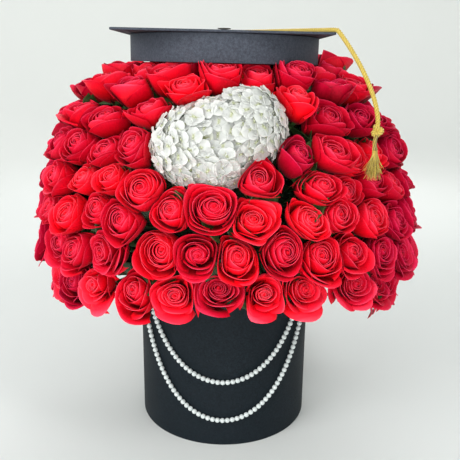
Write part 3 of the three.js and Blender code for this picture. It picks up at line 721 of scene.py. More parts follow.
def square_ring(half, corner):
    """A square outline with rounded corners, as evenly divided quarter arcs and sides."""
    corner = max(corner, 0.4 * MM)
    inset = half - corner
    points = []
    for quarter in range(4):
        start = quarter * TAU / 4
        middle = (inset * (1 if quarter in (0, 3) else -1), inset * (1 if quarter < 2 else -1))
        for step in range(CORNER_STEPS + 1):
            angle = start + step / CORNER_STEPS * TAU / 4
            points.append((middle[0] + corner * math.cos(angle), middle[1] + corner * math.sin(angle)))
        end = points[-1]
        ahead = (-math.cos(start), -math.sin(start))
        for step in range(1, SIDE_STEPS):
            along = 2 * inset * step / SIDE_STEPS
            points.append((end[0] + ahead[0] * along, end[1] + ahead[1] * along))
    return np.array(points)


def build_mortarboard():
    """A paper-wrapped board: soft edges, and the paper turned in over the underside as a border."""
    (_, _, bottom), (_, _, top) = low, high = lid_box("mortarboard")
    half = (high[0] - low[0]) / 2
    rim = half - BOARD_RIM
    edge = rounded([(rim, bottom), (half, bottom), (half, top), (rim, top)], 0.7 * MM, 6)[6:-6]
    under = [(CAP_HOLE, bottom + SHEET), (half * 0.4, bottom + SHEET), (half - TURN_IN, bottom + SHEET),
             (half - TURN_IN + SHEET, bottom), (rim, bottom)]
    over = [(rim, top), (half * 0.75, top - 0.1 * MM), (half * 0.35, top), (CAP_HOLE, top)]
    rings = []
    for reach, height in [*under, *edge, *over]:
        outline = square_ring(reach, BOARD_CORNER * min(1, reach / half) - (half - reach) * 0.2)
        rings.append(np.column_stack([outline, np.full(len(outline), height)]))
    rings = np.array(rings)
    count = rings.shape[1]
    cap = np.arange(count)
    faces = grid_faces(len(rings), count, wrap=True)
    bare = 2 * count  # the faces inside the turned-in border
    groups = [faces[bare:], (len(rings) - 1) * count + cap, faces[:bare], cap[::-1]]
    skin = Skin()
    skin.add(from_lid(rings), groups, [0, 0, 1, 1])
    skin.piece("mortarboard_paper", "lid", [charcoal_board, board_lining], "charcoal_board", SMOOTH_ANGLE,
               "mortarboard")


def build_button():
    """A flat cap, covered in cloth, on a short neck."""
    low, high = lid_box("tassel_button")
    wide = (high[0] - low[0]) / 2
    top = high[2] - BUTTON_FLATTER
    under = low[2] + BUTTON_RISE
    edge = under + BUTTON_EDGE
    dome = [(wide * (1 - s ** 2.2), edge + (top - edge) * math.sin(s * TAU / 4)) for s in np.arange(7) / 7]
    profile = [(CAP_HOLE, low[2]), (BUTTON_NECK, low[2]), (BUTTON_NECK, under - 0.4 * MM),
               (BUTTON_NECK + 0.5 * MM, under), (wide - 0.6 * MM, under), (wide, under + 0.5 * MM), *dome,
               (CAP_HOLE, top)]
    points, faces = disc_turned(np.array(profile), 48)
    angle = np.arctan2(points[:, 1], points[:, 0])
    skin = Skin()
    skin.add(from_lid(points), faces, strand_height=0.7, fibre_turn=angle * 3,
             fibre_along=np.linalg.norm(points, axis=1) / MM)
    skin.piece("tassel_button_cloth", "lid", [button_cloth], "black_paper", 50, "tassel_button")


# ---- the tassel ------------------------------------------------------------------------
CORD_RADIUS = 2.5 * MM
CORD_PITCH = 8.5 * MM
LOOP_RADIUS = 5.6 * MM
CORD_DROP = 90 * MM
CORD_REACH = 55 * MM
CORD_DROP_CURVE = 1.6
TAIL_LENGTH = 32 * MM
SWING_POINT = in_lid(np.array(joint("tassel_swing")["pos_m"]))
CORD_EDGE = float(np.linalg.norm(SWING_POINT[:2]))
CORD_OUT = np.array([SWING_POINT[0], SWING_POINT[1], 0]) / CORD_EDGE
CORD_SIDE = np.cross((0, 0, 1), CORD_OUT)
CORD_END = CORD_EDGE + CORD_REACH
STRAND_SIDES = 10
STRAND_SHARE = 0.46  # of the rope's radius
TAIL_STRANDS = 9
TAIL_SIDES = 8
FRINGE_FIBRES = 190


def cord_point(out, height, aside=0.0):
    """A point given by its distance out from the button, its height and its distance aside."""
    return from_lid(CORD_OUT * out + (0, 0, height) + CORD_SIDE * aside)


def cord_path():
    """Straight over the board, then down in an arc from its edge to the knot."""
    path = [cord_point(out, 0) for out in np.linspace(LOOP_RADIUS + 1 * MM, CORD_EDGE - 5 * MM, 150)]
    for part in np.linspace(0.0, 1.0, 130) ** 1.15:
        out = CORD_EDGE + CORD_REACH * (1 - (1 - part) ** CORD_DROP_CURVE)
        soften = 0.45 * MM * math.exp(-((part / 0.03) ** 2))
        path.append(cord_point(out, -CORD_DROP * part - soften))
    for depth in np.linspace(1 * MM, 5 * MM, 5):
        path.append(cord_point(CORD_END, -CORD_DROP - depth))
    return resampled(np.array(path), 1.0 * MM)


def between(places, known, points):
    """Points of a path at these places, found between the known ones."""
    return np.stack([np.interp(places, known, points[:, axis]) for axis in range(3)], -1)


def resampled(path, step):
    lengths = distance_along(path)
    return between(np.linspace(0, lengths[-1], int(lengths[-1] / step)), lengths, path)


def coiled(path, angle, radius):
    """A path that winds round another one, at these angles and this distance."""
    side, across = tube_frames(path)
    return path + radius * (side * np.cos(angle)[:, None] + across * np.sin(angle)[:, None])


def add_rope(skin, path, radius, pitch):
    """Three twisted strands along a path."""
    strand = radius * STRAND_SHARE
    length = distance_along(path)
    for k in range(3):
        centre = coiled(path, length / pitch * TAU + k * TAU / 3, radius - strand)
        points, faces = tube(centre, strand, STRAND_SIDES)
        rows = points.reshape(len(path), STRAND_SIDES, 3)
        out = np.linalg.norm(rows - path[:, None], axis=2) / radius
        turn = np.broadcast_to(np.arange(STRAND_SIDES) * TAU / STRAND_SIDES, out.shape)
        along = np.broadcast_to(length[:, None] / (4 * MM), out.shape)
        skin.add(points, faces, strand_height=out, fibre_turn=np.cos(turn) + along * 0.6, fibre_along=along)


def build_cord():
    """The rope, looped round the button's neck, lying on the board and hanging over its edge."""
    skin = Skin()
    turn = np.linspace(0, TAU, 60)[:-3] + math.pi * 0.15
    ring = np.array([cord_point(LOOP_RADIUS * math.cos(a), 0, LOOP_RADIUS * math.sin(a)) for a in turn])
    add_rope(skin, ring, CORD_RADIUS * 0.93, CORD_PITCH)
    add_rope(skin, cord_path(), CORD_RADIUS, CORD_PITCH)
    add_binding(skin, [cord_point(LOOP_RADIUS + step, 0) for step in np.linspace(2.2 * MM, 9 * MM, 60)],
                CORD_RADIUS * 0.98, 7)
    cord = skin.piece("tassel_cord", None, [gold_cord], "gold_cord", 60)
    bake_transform(cord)
    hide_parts("tassel_cord_top", "tassel_cord_drop")


def add_binding(skin, path, radius, turns):
    """A thin thread wound tightly round a path."""
    path = resampled(np.array(path), 0.25 * MM)
    side, across = tube_frames(path)
    angle = np.linspace(0, turns * TAU, len(path) * 4)
    at = np.linspace(0, len(path) - 1, len(angle))
    middle = between(at, np.arange(len(path)), path)
    nearest = np.round(at).astype(int)
    spoke = side[nearest] * np.cos(angle)[:, None] + across[nearest] * np.sin(angle)[:, None]
    coil = middle + radius * spoke
    points, faces = tube(coil, 0.42 * MM, 6)
    skin.add(points, faces, strand_height=0.85, fibre_along=points[:, 2] / MM)


def build_knot():
    """An overhand knot drawn tight, and the strands opening out below it."""
    skin = Skin()
    knot_height = -CORD_DROP - 7.5 * MM
    turn = np.linspace(0, TAU, 110)[:-1]
    reach = 1.75 * MM
    flat = (np.sin(turn) + 2 * np.sin(2 * turn)) * reach
    rise = (np.cos(turn) - 2 * np.cos(2 * turn)) * reach * 0.95
    depth = -np.sin(3 * turn) * 1.9 * MM
    lean = 0.5  # radians, in the tassel's plane
    out = flat * math.cos(lean) + rise * math.sin(lean)
    height = rise * math.cos(lean) - flat * math.sin(lean)
    path = np.array([cord_point(CORD_END + o, knot_height + h, d) for o, h, d in zip(out, height, depth)])
    add_rope(skin, path, CORD_RADIUS * 0.86, CORD_PITCH * 0.8)
    tail = []
    for s in np.linspace(0, 1, 40):
        sway = 1.6 * MM * math.sin(s * math.pi) * (1 - s)
        depth = CORD_DROP + 11 * MM + s * (TAIL_LENGTH - 9 * MM)
        tail.append(cord_point(CORD_END - sway - 0.5 * MM, -depth))
    tail = np.array(tail)
    opening = np.linspace(0, 1, len(tail))
    for k in range(TAIL_STRANDS):
        angle = k * TAU / TAIL_STRANDS + opening * 2.6 + (k % 3) * 0.3
        spread = (1.5 + 0.5 * math.sin(k * 2.3)) * MM * (0.75 + 0.35 * opening)
        centre = coiled(tail, angle, spread[:, None])
        points, faces = tube(centre, 0.85 * MM - 0.15 * MM * opening, TAIL_SIDES)
        rows = points.reshape(len(tail), TAIL_SIDES, 3)
        out = np.linalg.norm(rows - tail[:, None], axis=2) / (2.9 * MM)
        along = np.broadcast_to(opening[:, None] * 8, out.shape)
        around = np.broadcast_to(np.cos(np.arange(TAIL_SIDES) * TAU / TAIL_SIDES), out.shape)
        skin.add(points, faces, strand_height=out, fibre_turn=around, fibre_along=along)
    skin.piece("tassel_knot", "tassel_hanging", [gold_cord], "gold_cord", 60)


def build_fringe():
    """Loose fibres that spread out below the tail, some of them curling away to the side."""
    rng = np.random.default_rng(SEED)
    low = lid_box("tassel_fringe")[0][2]
    top = -CORD_DROP - TAIL_LENGTH + 5 * MM
    skin = Skin()
    for _ in range(FRINGE_FIBRES):
        angle = rng.uniform(0, TAU)
        start = math.sqrt(rng.uniform(0, 1)) * 2.3 * MM
        stray = rng.uniform(0, 1) ** 3
        spread = (2.5 + 4.5 * rng.uniform(0, 1) + 5.0 * stray) * MM
        length = (top - low) * rng.uniform(0.72, 1.0) * (1 - 0.25 * stray)
        bend = rng.normal(0, 1.3, 2) * MM
        wave = rng.uniform(0, TAU)
        path = []
        for s in np.linspace(0, 1, 12):
            reach = start + (spread - start) * s ** 1.5
            curl = math.sin(s * 5 + wave) * 0.7 * MM * s
            out = math.cos(angle) * reach + bend[0] * s * s + curl
            aside = math.sin(angle) * reach + bend[1] * s * s + curl * 0.5
            fall = length * (s - 0.18 * stray * s * s)
            path.append(cord_point(CORD_END - 0.5 * MM + out, top - fall, aside))
        width = rng.uniform(0.22, 0.40) * MM
        points, faces = tube(path, np.linspace(1.0, 0.55, 12) * width, 5)
        skin.add(points, faces, strand_height=rng.uniform(0.62, 1.0), fibre_along=rng.uniform(0, 9))
    skin.piece("tassel_fringe_fibres", "tassel_hanging", [gold_cord], "gold_cord", None, "tassel_fringe")


# ---- roses -----------------------------------------------------------------------------
FACE_AREA = 500 * MM * MM  # a rose's flat face is larger than this and, unlike its sides, has five corners
FACE_CORNERS = 5
FLAT, SAME_PLANE = 0.9999, 0.05 * MM  # how alike two triangles of one face are in facing and in place
LEAST_AREA = 1e-9
ROSE_DEPTH = 38 * MM
LEAST_SWELL, MOST_SWELL = 1.20, 1.75  # petals spread this much past the faceted face
LOWEST_ROW, SKIRT_SWELL = "row1_", 1.30  # the lowest roses have nothing below them and spread less
REACH_SHARE = 0.72  # of the way to the neighbours, so that the petals press on each other
HEART_DEPTH = 14 * MM  # a rose leans about a point this far below its face
LEAN = math.radians(9)
UPPER_START, UPPER_RISE = 0.33, 0.12  # metres; above this height the roses look more and more upwards
SHOULDER_HEIGHT, SHOULDER_SPAN = 0.435, 0.035  # metres; the roses beside the lid stand up to its band
SHOULDER_LIFT = np.array([0.02, 0.02, 0.0]), np.array([0.0, 0.0, 14 * MM])  # share outwards, and upwards
OVERLAP = 3.5 * MM  # of two neighbours, one lies over the other by up to this much
GOLDEN_TURN = math.radians(137.5)
GUARD_START = 0.66  # the outermost third of the petals are broad guard petals
PETAL_THICKNESS = 0.4 * MM
RIM_ANGLE = 60  # degrees; sharper edges than this, such as the rim of a petal, aren't shaded smooth
BUD = np.array([(0.004, -0.5), (0.07, -0.45), (0.085, -0.12), (0.06, -0.01), (0.025, 0.04), (0.004, 0.05)])
SOFT = 11 * MM  # petals give way over this depth
NEAR = 80 * MM
LID_ROOM = 0.8 * MM
BAND_ROOM = 3.5 * MM
BAND_OUTSIDE = 7.5 * MM
PLATE_ROOM = 4.5 * MM
PLATE_SOFT = 4 * MM
WALL_ROOM = 1.0 * MM
CALYX = np.array([(0.8, -7), (2.6, -6.4), (4.3, -3.5), (4.6, -0.6), (3.2, 1.2), (0.8, 1.6)]) * MM
STEM_RADIUS = 1.7 * MM
STEM_STEPS = 9
STEM_SIDES = 8


def rose_faces(node):
    """Centre, outward axis and radius of each rose's face on a bunch of stems."""
    groups = []
    for a, b, c in cad_triangles(node):
        cross = np.cross(b - a, c - a)
        area = np.linalg.norm(cross) / 2
        if area < LEAST_AREA:
            continue
        normal = cross / (2 * area)
        for group in groups:
            if normal @ group["normal"] > FLAT and abs((a - group["at"]) @ normal) < SAME_PLANE:
                group["area"] += area
                group["corners"] += [a, b, c]
                break
        else:
            groups.append({"normal": normal, "at": a, "area": area, "corners": [a, b, c]})
    faces = []
    for group in groups:
        corners = np.unique(np.round(group["corners"], 5), axis=0)
        if group["area"] > FACE_AREA and len(corners) == FACE_CORNERS:
            centre = corners.mean(0)
            radius = np.linalg.norm(corners - centre, axis=1).mean()
            heart = centre - group["normal"] * HEART_DEPTH
            faces.append({"node": node, "heart": heart, "axis": group["normal"], "radius": radius})
    return faces


def lean_roses(rng, roses):
    """Each rose leans its own way and spreads as far as its neighbours leave room."""
    for rose in roses:
        shoulder = math.exp(-((rose["heart"][2] - SHOULDER_HEIGHT) / SHOULDER_SPAN) ** 2)
        rose["heart"] = rose["heart"] + shoulder * (rose["heart"] * SHOULDER_LIFT[0] + SHOULDER_LIFT[1])
    hearts = np.array([rose["heart"] for rose in roses])
    for rose in roses:
        away = np.sort(np.linalg.norm(hearts - rose["heart"], axis=1))[1:7]
        reach = away.mean() * REACH_SHARE * rng.uniform(0.93, 1.07)
        most = SKIRT_SWELL if LOWEST_ROW in rose["node"] else MOST_SWELL
        rose["reach"] = float(np.clip(reach, rose["radius"] * min(LEAST_SWELL, most), rose["radius"] * most))
        rose["upper"] = float(np.clip((rose["heart"][2] - UPPER_START) / UPPER_RISE, 0, 1))
        level = 1 - rose["axis"][2]
        lift = rng.uniform(0.0, 0.36) * level + rng.uniform(0.15, 0.5) * rose["upper"]
        axis = rose["axis"] + (0, 0, lift) + rng.normal(0, LEAN, 3) * 0.8
        rose["axis"] = axis / np.linalg.norm(axis)
        rose["centre"] = rose["heart"] + rose["axis"] * HEART_DEPTH * rng.uniform(0.75, 1.35)


def petal_profile(base, belly, rim, share):
    """(radius, height) along a petal from its base, bowed out at the belly, to its rim."""
    s = share[..., None]
    low = np.array([belly[0] * 1.12, base[1] * 0.86])
    points = [np.array(base), low, np.array(belly), np.array(rim)]
    weights = [(1 - s) ** 3, 3 * s * (1 - s) ** 2, 3 * s * s * (1 - s), s ** 3]
    return sum(weight * point for weight, point in zip(weights, points))


def rose_petals(rng, radius, openness, skin, place, tone):
    """All petals of one rose. place moves points from the rose's own frame, face up, to where it grows."""
    count = int(round(25 + 7 * openness))
    spin = rng.uniform(0, TAU)
    wide = 0.76 + 0.38 * openness ** 0.8
    girth = 0.84 + 0.20 * math.sin(math.pi * min(1, openness * 1.25)) - 0.16 * openness ** 3
    hollow = rng.uniform(0.10, 0.42) * radius * (0.35 + 0.65 * openness)
    moat = rng.uniform(0.12, 0.40) if rng.uniform() < 0.5 else 0.0
    heart_share = rng.uniform(0.34, 0.56)
    oval = rng.uniform(0.88, 1.12)
    heart_shift = rng.normal(0, 0.08, 2) * radius
    points, faces = disc_turned(radius * BUD, 9)
    skin.add(place(points + (*heart_shift, -hollow * 0.95)), faces, petal_height=0.62, rose_tone=tone)
    for index in range(count):
        t = index / (count - 1)
        guard = np.clip((t - GUARD_START) / (1 - GUARD_START), 0, 1)
        columns, rows = (13, 10) if guard else (9, 7)
        u = np.linspace(-1, 1, columns)[None, :]
        v = (np.linspace(0, 1, rows) ** 0.85)[:, None]
        ring = np.interp(t, (0, GUARD_START, 1), (0.015, heart_share, 1.0))
        belly = radius * girth * (0.14 + 0.76 * ring ** 0.8)
        rim = radius * wide * ring * rng.uniform(0.90, 1.08)
        rim = rim * (1 - moat * math.exp(-((t - 0.45) / 0.18) ** 2))
        rim_height = -hollow * (1 - ring) ** 1.3 - radius * 0.34 * openness * guard ** 1.6
        rim_height += radius * rng.uniform(-0.06, 0.05) * (0.4 + t)
        half = (1.02 + 1.4 * (1 - t) ** 1.7) * rng.uniform(0.88, 1.10)
        edge_drop = 0.10 + 0.20 * t
        point_up = rng.uniform(-0.03, 0.09) * t
        reach = v * (1 - edge_drop * np.abs(u) ** 2.4 + point_up * (1 - np.abs(u)))
        base = (radius * 0.12, -ROSE_DEPTH * (0.62 + 0.36 * t))
        waist = (belly, -ROSE_DEPTH * (0.22 + 0.22 * t * openness))
        shape = petal_profile(base, waist, (rim, rim_height), reach)
        out, height = shape[..., 0], shape[..., 1]
        out = out * (1 + (0.15 - 0.08 * t) * u)
        lip = np.clip((v - 0.66) / 0.34, 0, 1)
        roll = radius * (0.02 + 0.05 * t + 0.20 * openness * guard) * rng.uniform(0.5, 1.5)
        out = out + roll * lip ** 1.6 * (0.75 + 0.45 * np.abs(u) ** 2)
        height = height - roll * 1.05 * lip ** 3 * (0.55 + 0.9 * np.abs(u) ** 2)
        wave = rng.uniform(0, TAU, 3)
        ripple = np.sin(u * 2.6 + wave[0]) + 0.5 * np.sin(u * 5.3 + wave[1])
        out = out + radius * 0.030 * ripple * v ** 3 * (0.3 + t)
        height = height + radius * 0.034 * np.sin(u * 3.4 + wave[2]) * v ** 3 * (0.3 + t)
        crease = radius * 0.035 * t * np.exp(-(u / 0.22) ** 2) * np.sin(v * math.pi)
        out = out - crease * rng.uniform(-0.4, 1.0)
        spread = 0.42 + 0.58 * np.sin(np.clip(v / 0.6, 0, 1) * TAU / 4)
        angle = spin + GOLDEN_TURN * index + half * u * spread + rng.uniform(-0.30, 0.30)
        x = out * np.cos(angle) * oval + heart_shift[0] * (1 - t) * v
        y = out * np.sin(angle) / oval + heart_shift[1] * (1 - t) * v
        middle = np.stack([x, y, np.broadcast_to(height, out.shape)], -1)
        # Painted shade: each petal darkens towards its base, and the inner petals more, deep in the rose's
        # hollow.
        inner_shade = 0.08 + 0.30 * (1 - ring)
        light = both_sides(np.clip(reach - inner_shade * (1 - reach), 0, 1), out.shape)
        skin.add(place(shell_points(middle, PETAL_THICKNESS)), shell_faces(rows, columns), petal_height=light,
                 petal_across=both_sides(u, out.shape), petal_seed=rng.uniform(0, 50),
                 rose_tone=np.clip(tone + rng.normal(0, 0.07), 0, 1))


def rose_placer(rose, planes, limits):
    """Moves a rose's own points to where it grows and presses them against what stands next to it."""
    turn = turn_to(rose["axis"])

    def place(points):
        placed = points @ turn.T + rose["centre"]
        for direction, limit in planes:
            placed = pressed(placed, rose["heart"], direction, limit)
        for limit in limits:
            placed = limit(placed, rose)
        return placed

    return place


def pressed(points, heart, direction, limit):
    """Petals flatten, more and more softly, against a plane this far from the heart of their rose."""
    soft = min(SOFT, limit * 0.55)
    past = np.maximum((points - heart) @ direction - (limit - soft), 0)
    moved = soft * (1 - np.exp(-past / soft))
    return points + np.outer(moved - past, direction)


def planes_between(index, roses, bias):
    """The planes that part a rose from its neighbours, each side by its size, one over the other."""
    rose = roses[index]
    planes = []
    for k, other in enumerate(roses):
        offset = other["heart"] - rose["heart"]
        distance = np.linalg.norm(offset)
        if 0 < distance < NEAR:
            share = rose["reach"] / (rose["reach"] + other["reach"])
            planes.append((offset / distance, distance * share + bias[index, k]))
    return planes


def plane_before(rose, tree):
    """The plane that keeps a rose clear of the hydrangea beside it, if there is one near."""
    place, _, _, distance = tree.find_nearest(Vector(rose["heart"]))
    if distance > NEAR * 0.6:
        return []
    return [((np.array(place) - rose["heart"]) / distance, distance - HYDRANGEA_CLEARANCE)]


def lid_limit(points, rose):
    """Nothing grows through the lid: roses under it stay inside its band and below its plate."""
    local = in_lid(points)
    height = local[:, 2]
    floor = BAND_LOW[2] - LID_ROOM
    across = local[:, :2] - BAND_MIDDLE[:2]
    reach = np.linalg.norm(across, axis=1)
    inner = BAND_RADIUS - BAND_ROOM
    if np.linalg.norm((in_lid(rose["centre"]) - BAND_MIDDLE)[:2]) < inner:
        squeeze = np.where((height > floor) & (reach > inner), inner / np.maximum(reach, TINY), 1.0)
        local[:, :2] = BAND_MIDDLE[:2] + across * squeeze[:, None]
        past = np.maximum(height - (BAND_HIGH[2] - PLATE_ROOM - PLATE_SOFT), 0)
        local[:, 2] = height - past + PLATE_SOFT * (1 - np.exp(-past / PLATE_SOFT))
    else:
        local[:, 2] = np.where(reach < inner + BAND_OUTSIDE, np.minimum(height, floor), height)
    return from_lid(local)


def box_limit(points, rose):
    """Petals of the lowest roses hang outside the box's wall."""
    reach = np.linalg.norm(points[:, :2], axis=1)
    wall = BOX_RADIUS + WALL_ROOM
    inside = (reach < wall) & (points[:, 2] < BOX_HEIGHT + WALL_ROOM)
    push = np.where(inside, wall / np.maximum(reach, TINY), 1.0)
    return points * np.column_stack([push, push, np.ones(len(push))])


def rose_openness(rng, rose):
    """Low front roses are wide open, the middle ones are cups, and some higher up are still buds."""
    height = rose["centre"][2]
    front = max(0.0, -rose["centre"][1] / 0.2)
    low = np.clip((0.31 - height) / 0.10, 0, 1)
    base = 0.46 + 0.42 * low + 0.08 * front - 0.10 * rose["upper"]
    if rng.uniform() < 0.16 and height > 0.26:
        return rng.uniform(0.10, 0.26)
    return float(np.clip(base + rng.normal(0, 0.15), 0.15, 1.0))


def build_roses():
    rng = np.random.default_rng(SEED)
    nodes = sorted(name for name in frame["nodes"] if name.startswith("rose_row"))
    roses = [face for node in nodes for face in rose_faces(node)]
    lean_roses(rng, roses)
    skins = {node: Skin() for node in nodes}
    greens = {node: Skin() for node in nodes}
    over = rng.uniform(-OVERLAP, OVERLAP, (len(roses), len(roses)))
    bias = np.triu(over) - np.triu(over).T + OVERLAP / 3
    tree = BVHTree.FromObject(frame["nodes"]["hydrangea_head"], bpy.context.evaluated_depsgraph_get())
    for index, rose in enumerate(roses):
        planes = planes_between(index, roses, bias) + plane_before(rose, tree)
        place = rose_placer(rose, planes, (lid_limit, box_limit))
        # Painted shade: roses at the sides, at the back and high up are pushed towards the deeper crimson;
        # the random part is each rose's own tone.
        side = np.clip(rose["centre"][0] / 0.2, -1, 1)
        back = np.clip(rose["centre"][1] / 0.15 + 0.6, 0, 1)
        shade = 0.20 + 0.12 * side + 0.62 * side ** 2 + 0.25 * back + 0.24 * rose["upper"]
        tone = float(np.clip(shade + rng.normal(0, 0.30), 0, 1))
        rose_petals(rng, rose["reach"], rose_openness(rng, rose), skins[rose["node"]], place, tone)
        add_calyx(rng, rose, greens[rose["node"]])
    for node in nodes:
        name = node.replace("rose_", "")
        skins[node].piece(f"roses_{name}", "flower_box", [red_petal], "red_petal", RIM_ANGLE, node)
        greens[node].piece(f"stems_{name}", "flower_box", [green_leaf])
    return roses


def in_foam(point, depth):
    """Where a straight stem from this point would end, this deep in the crown of foam."""
    outward = point - CROWN_CENTRE
    return CROWN_CENTRE + outward / np.linalg.norm(outward) * (CROWN_RADIUS - depth)


def add_calyx(rng, rose, skin):
    """The green cup under the petals, its five pointed sepals, and the stem down into the foam."""
    turn = turn_to(rose["axis"])
    base = rose["centre"] - rose["axis"] * ROSE_DEPTH
    points, faces = disc_turned(CALYX, 10)
    skin.add(points @ turn.T + base, faces, leaf_along=0.4)
    for k in range(5):
        angle = k * TAU / 5 + rng.uniform(-0.2, 0.2)
        lift = rng.uniform(0.75, 1.25)
        along = np.linspace(0, 1, 7)[:, None]
        across = np.linspace(-1, 1, 5)[None, :]
        out = (4.3 + 15 * along * math.cos(lift) + 2.5 * np.sin(along * math.pi)) * MM
        rise = (-1.5 + 24 * along * math.sin(lift)) * MM
        width = 3.6 * MM * (1 - along) ** 0.8 * (0.75 + 0.6 * np.sin(along * math.pi))
        lifted = rise + width * 0.2 * across ** 2
        sheet = shell_points(spun(angle, out, width * across, lifted), LEAF_THICKNESS)
        skin.add(sheet @ turn.T + base, shell_faces(7, 5), leaf_along=both_sides(along * 3, (7, 5)),
                 leaf_across=both_sides(across, (7, 5)))
    foot = in_foam(base, 6 * MM)
    bottom = base - rose["axis"] * 6 * MM
    bend = bottom - rose["axis"] * np.linalg.norm(foot - bottom) * 0.35
    s = np.linspace(0, 1, STEM_STEPS)[:, None]
    path = (1 - s) ** 2 * bottom + 2 * s * (1 - s) * bend + s ** 2 * foot
    points, faces = tube(path, STEM_RADIUS, STEM_SIDES)
    skin.add(points, faces, leaf_along=np.repeat(6 * s, STEM_SIDES))


# ---- leaves ----------------------------------------------------------------------------
LEAVES = 12
DEEP_ROUNDS = 2  # leaves lying behind every hollow
COLLAR_LEAVES = 90
LEAF_THICKNESS = 0.35 * MM


def add_leaf(rng, skin, root, outward, length):
    """A pointed leaf, folded along its midrib, with fine teeth, on a short stalk."""
    shape = 15, 9
    along = np.linspace(0, 1, shape[0])[:, None]
    across = np.linspace(-1, 1, shape[1])[None, :]
    half = length * 0.27 * np.sin(along ** 0.75 * math.pi) ** 0.85 + 0.2 * MM
    teeth = 1 + 0.05 * np.sin(along * TAU * 9) * np.abs(across) ** 4
    fold = half * 0.35 * np.abs(across) + length * 0.16 * along ** 2
    middle = spun(rng.uniform(0, TAU), half * across * teeth, fold, length * along)
    sheet = shell_points(middle, LEAF_THICKNESS) @ turn_to(outward).T + root
    skin.add(sheet, shell_faces(*shape), leaf_along=both_sides(along * 3, shape),
             leaf_across=both_sides(across, shape))


def build_leaves(roses):
    """A few leaf tips show in the hollows where three roses meet. The rest lie deep between the stems."""
    rng = np.random.default_rng(SEED + 1)
    centres = np.array([rose["centre"] for rose in roses])
    hollows = []
    for i, rose in enumerate(roses):
        gaps = np.linalg.norm(centres - centres[i], axis=1)
        near = np.argsort(gaps)[1:4]
        pairs = (near[:2], near[1:], near[::2]) if centres[i][1] > 0 else (near[:2],)
        for a, b in pairs:
            middle = (centres[i] + centres[a] + centres[b]) / 3
            hollows.append((middle, rose["axis"]))
    skin = Skin()
    for index in rng.permutation(len(hollows))[:LEAVES]:
        middle, outward = hollows[index]
        length = rng.uniform(30, 40) * MM
        root = middle - outward * (length - rng.uniform(-2, 4) * MM)
        add_leaf(rng, skin, root, outward, length)
        skin.add(*tube(np.linspace(in_foam(root, 5 * MM), root + outward * MM, 4), 0.9 * MM, 6))
    for middle, outward in hollows * DEEP_ROUNDS:
        along = np.cross(outward, rng.normal(0, 1, 3))
        along /= np.linalg.norm(along)
        length = rng.uniform(44, 62) * MM
        root = middle - outward * rng.uniform(24, 38) * MM - along * length / 2
        add_leaf(rng, skin, root, along, length)
    for k in range(COLLAR_LEAVES):
        angle = (k + rng.uniform(0, 1)) / COLLAR_LEAVES * TAU
        outward = np.array([math.cos(angle), math.sin(angle), rng.uniform(0.35, 0.9)])
        along = outward + rng.normal(0, 0.4, 3) * (1, 1, 0.4)
        along /= np.linalg.norm(along)
        root = outward * (BOX_RADIUS + rng.uniform(2, 14) * MM)
        root[2] = BOX_HEIGHT + rng.uniform(8, 30) * MM
        add_leaf(rng, skin, root, along, rng.uniform(42, 56) * MM)
    skin.piece("rose_leaves", "flower_box", [green_leaf])


# ---- hydrangea -------------------------------------------------------------------------
FLORET_RADIUS = 10.5 * MM
FLORET_LAYERS = (1.5 * MM, 8.8 * MM), (5.5 * MM, 9.5 * MM)  # depth under the surface, and spacing
FLORET_THICKNESS = 0.3 * MM
FLORET_EYE = np.array([(0.2, -1.2), (0.9, -0.9), (1.25, 0.2), (1.0, 1.1), (0.45, 1.6), (0.12, 1.7)]) * MM
FLORET_TRIES = 2600
HYDRANGEA_CLEARANCE = 1.5 * MM
MOUND_SHARE = 0.87  # size of the mound of unopened buds under the florets


def spread_points(triangles, spacing, tries, rng):
    """Points at random on triangles, no two nearer than the spacing, and the facing at each."""
    cross = np.cross(triangles[:, 1] - triangles[:, 0], triangles[:, 2] - triangles[:, 0])
    area = np.linalg.norm(cross, axis=1)
    picks = rng.choice(len(triangles), tries, p=area / area.sum())
    a, b = rng.uniform(0, 1, (2, tries, 1))
    flip = a + b > 1
    a, b = np.where(flip, 1 - a, a), np.where(flip, 1 - b, b)
    corner = triangles[picks]
    points = corner[:, 0] + a * (corner[:, 1] - corner[:, 0]) + b * (corner[:, 2] - corner[:, 0])
    normals = (cross / area[:, None])[picks]
    kept = []
    for index, point in enumerate(points):
        if all(np.linalg.norm(point - points[k]) > spacing for k in kept):
            kept.append(index)
    return points[kept], normals[kept]


def add_floret(rng, skin, centre, outward, size, ripeness):
    """Four broad rounded petals round a small green eye. An unripe floret is greener all over."""
    turn = turn_to(outward)
    spin = rng.uniform(0, TAU)
    shape = 7, 7
    v = np.linspace(0, 1, shape[0])[:, None]
    u = np.linspace(-1, 1, shape[1])[None, :]
    for k in range(4):
        angle = spin + k * TAU / 4 + rng.uniform(-0.12, 0.12)
        length = size * rng.uniform(0.90, 1.08)
        cup = rng.uniform(-0.16, 0.20)
        reach = v * (1 - 0.13 * np.abs(u) ** 3)
        half = length * 0.60 * np.sin(np.clip(0.10 + 0.95 * v, 0, 1) ** 0.75 * math.pi * 0.66)
        half = half * (1 - 0.22 * np.clip((v - 0.75) / 0.25, 0, 1) ** 2)
        sideways = half * u
        wave = rng.uniform(0, TAU)
        lift = length * (cup * reach ** 1.6 + 0.10 * np.abs(u) ** 2 * v)
        lift = lift + length * 0.05 * np.sin(u * 4 + wave) * v ** 2 + 0.35 * MM * (k % 2)
        sheet = shell_points(spun(angle, length * reach, sideways, lift), FLORET_THICKNESS)
        height = both_sides(reach * ripeness, shape)
        skin.add(sheet @ turn.T + centre, shell_faces(*shape), petal_height=height,
                 petal_across=both_sides(u, shape), petal_seed=rng.uniform(0, 50))
    points, faces = disc_turned(FLORET_EYE, 8)
    skin.add(points @ turn.T + centre, faces, petal_height=0.05)


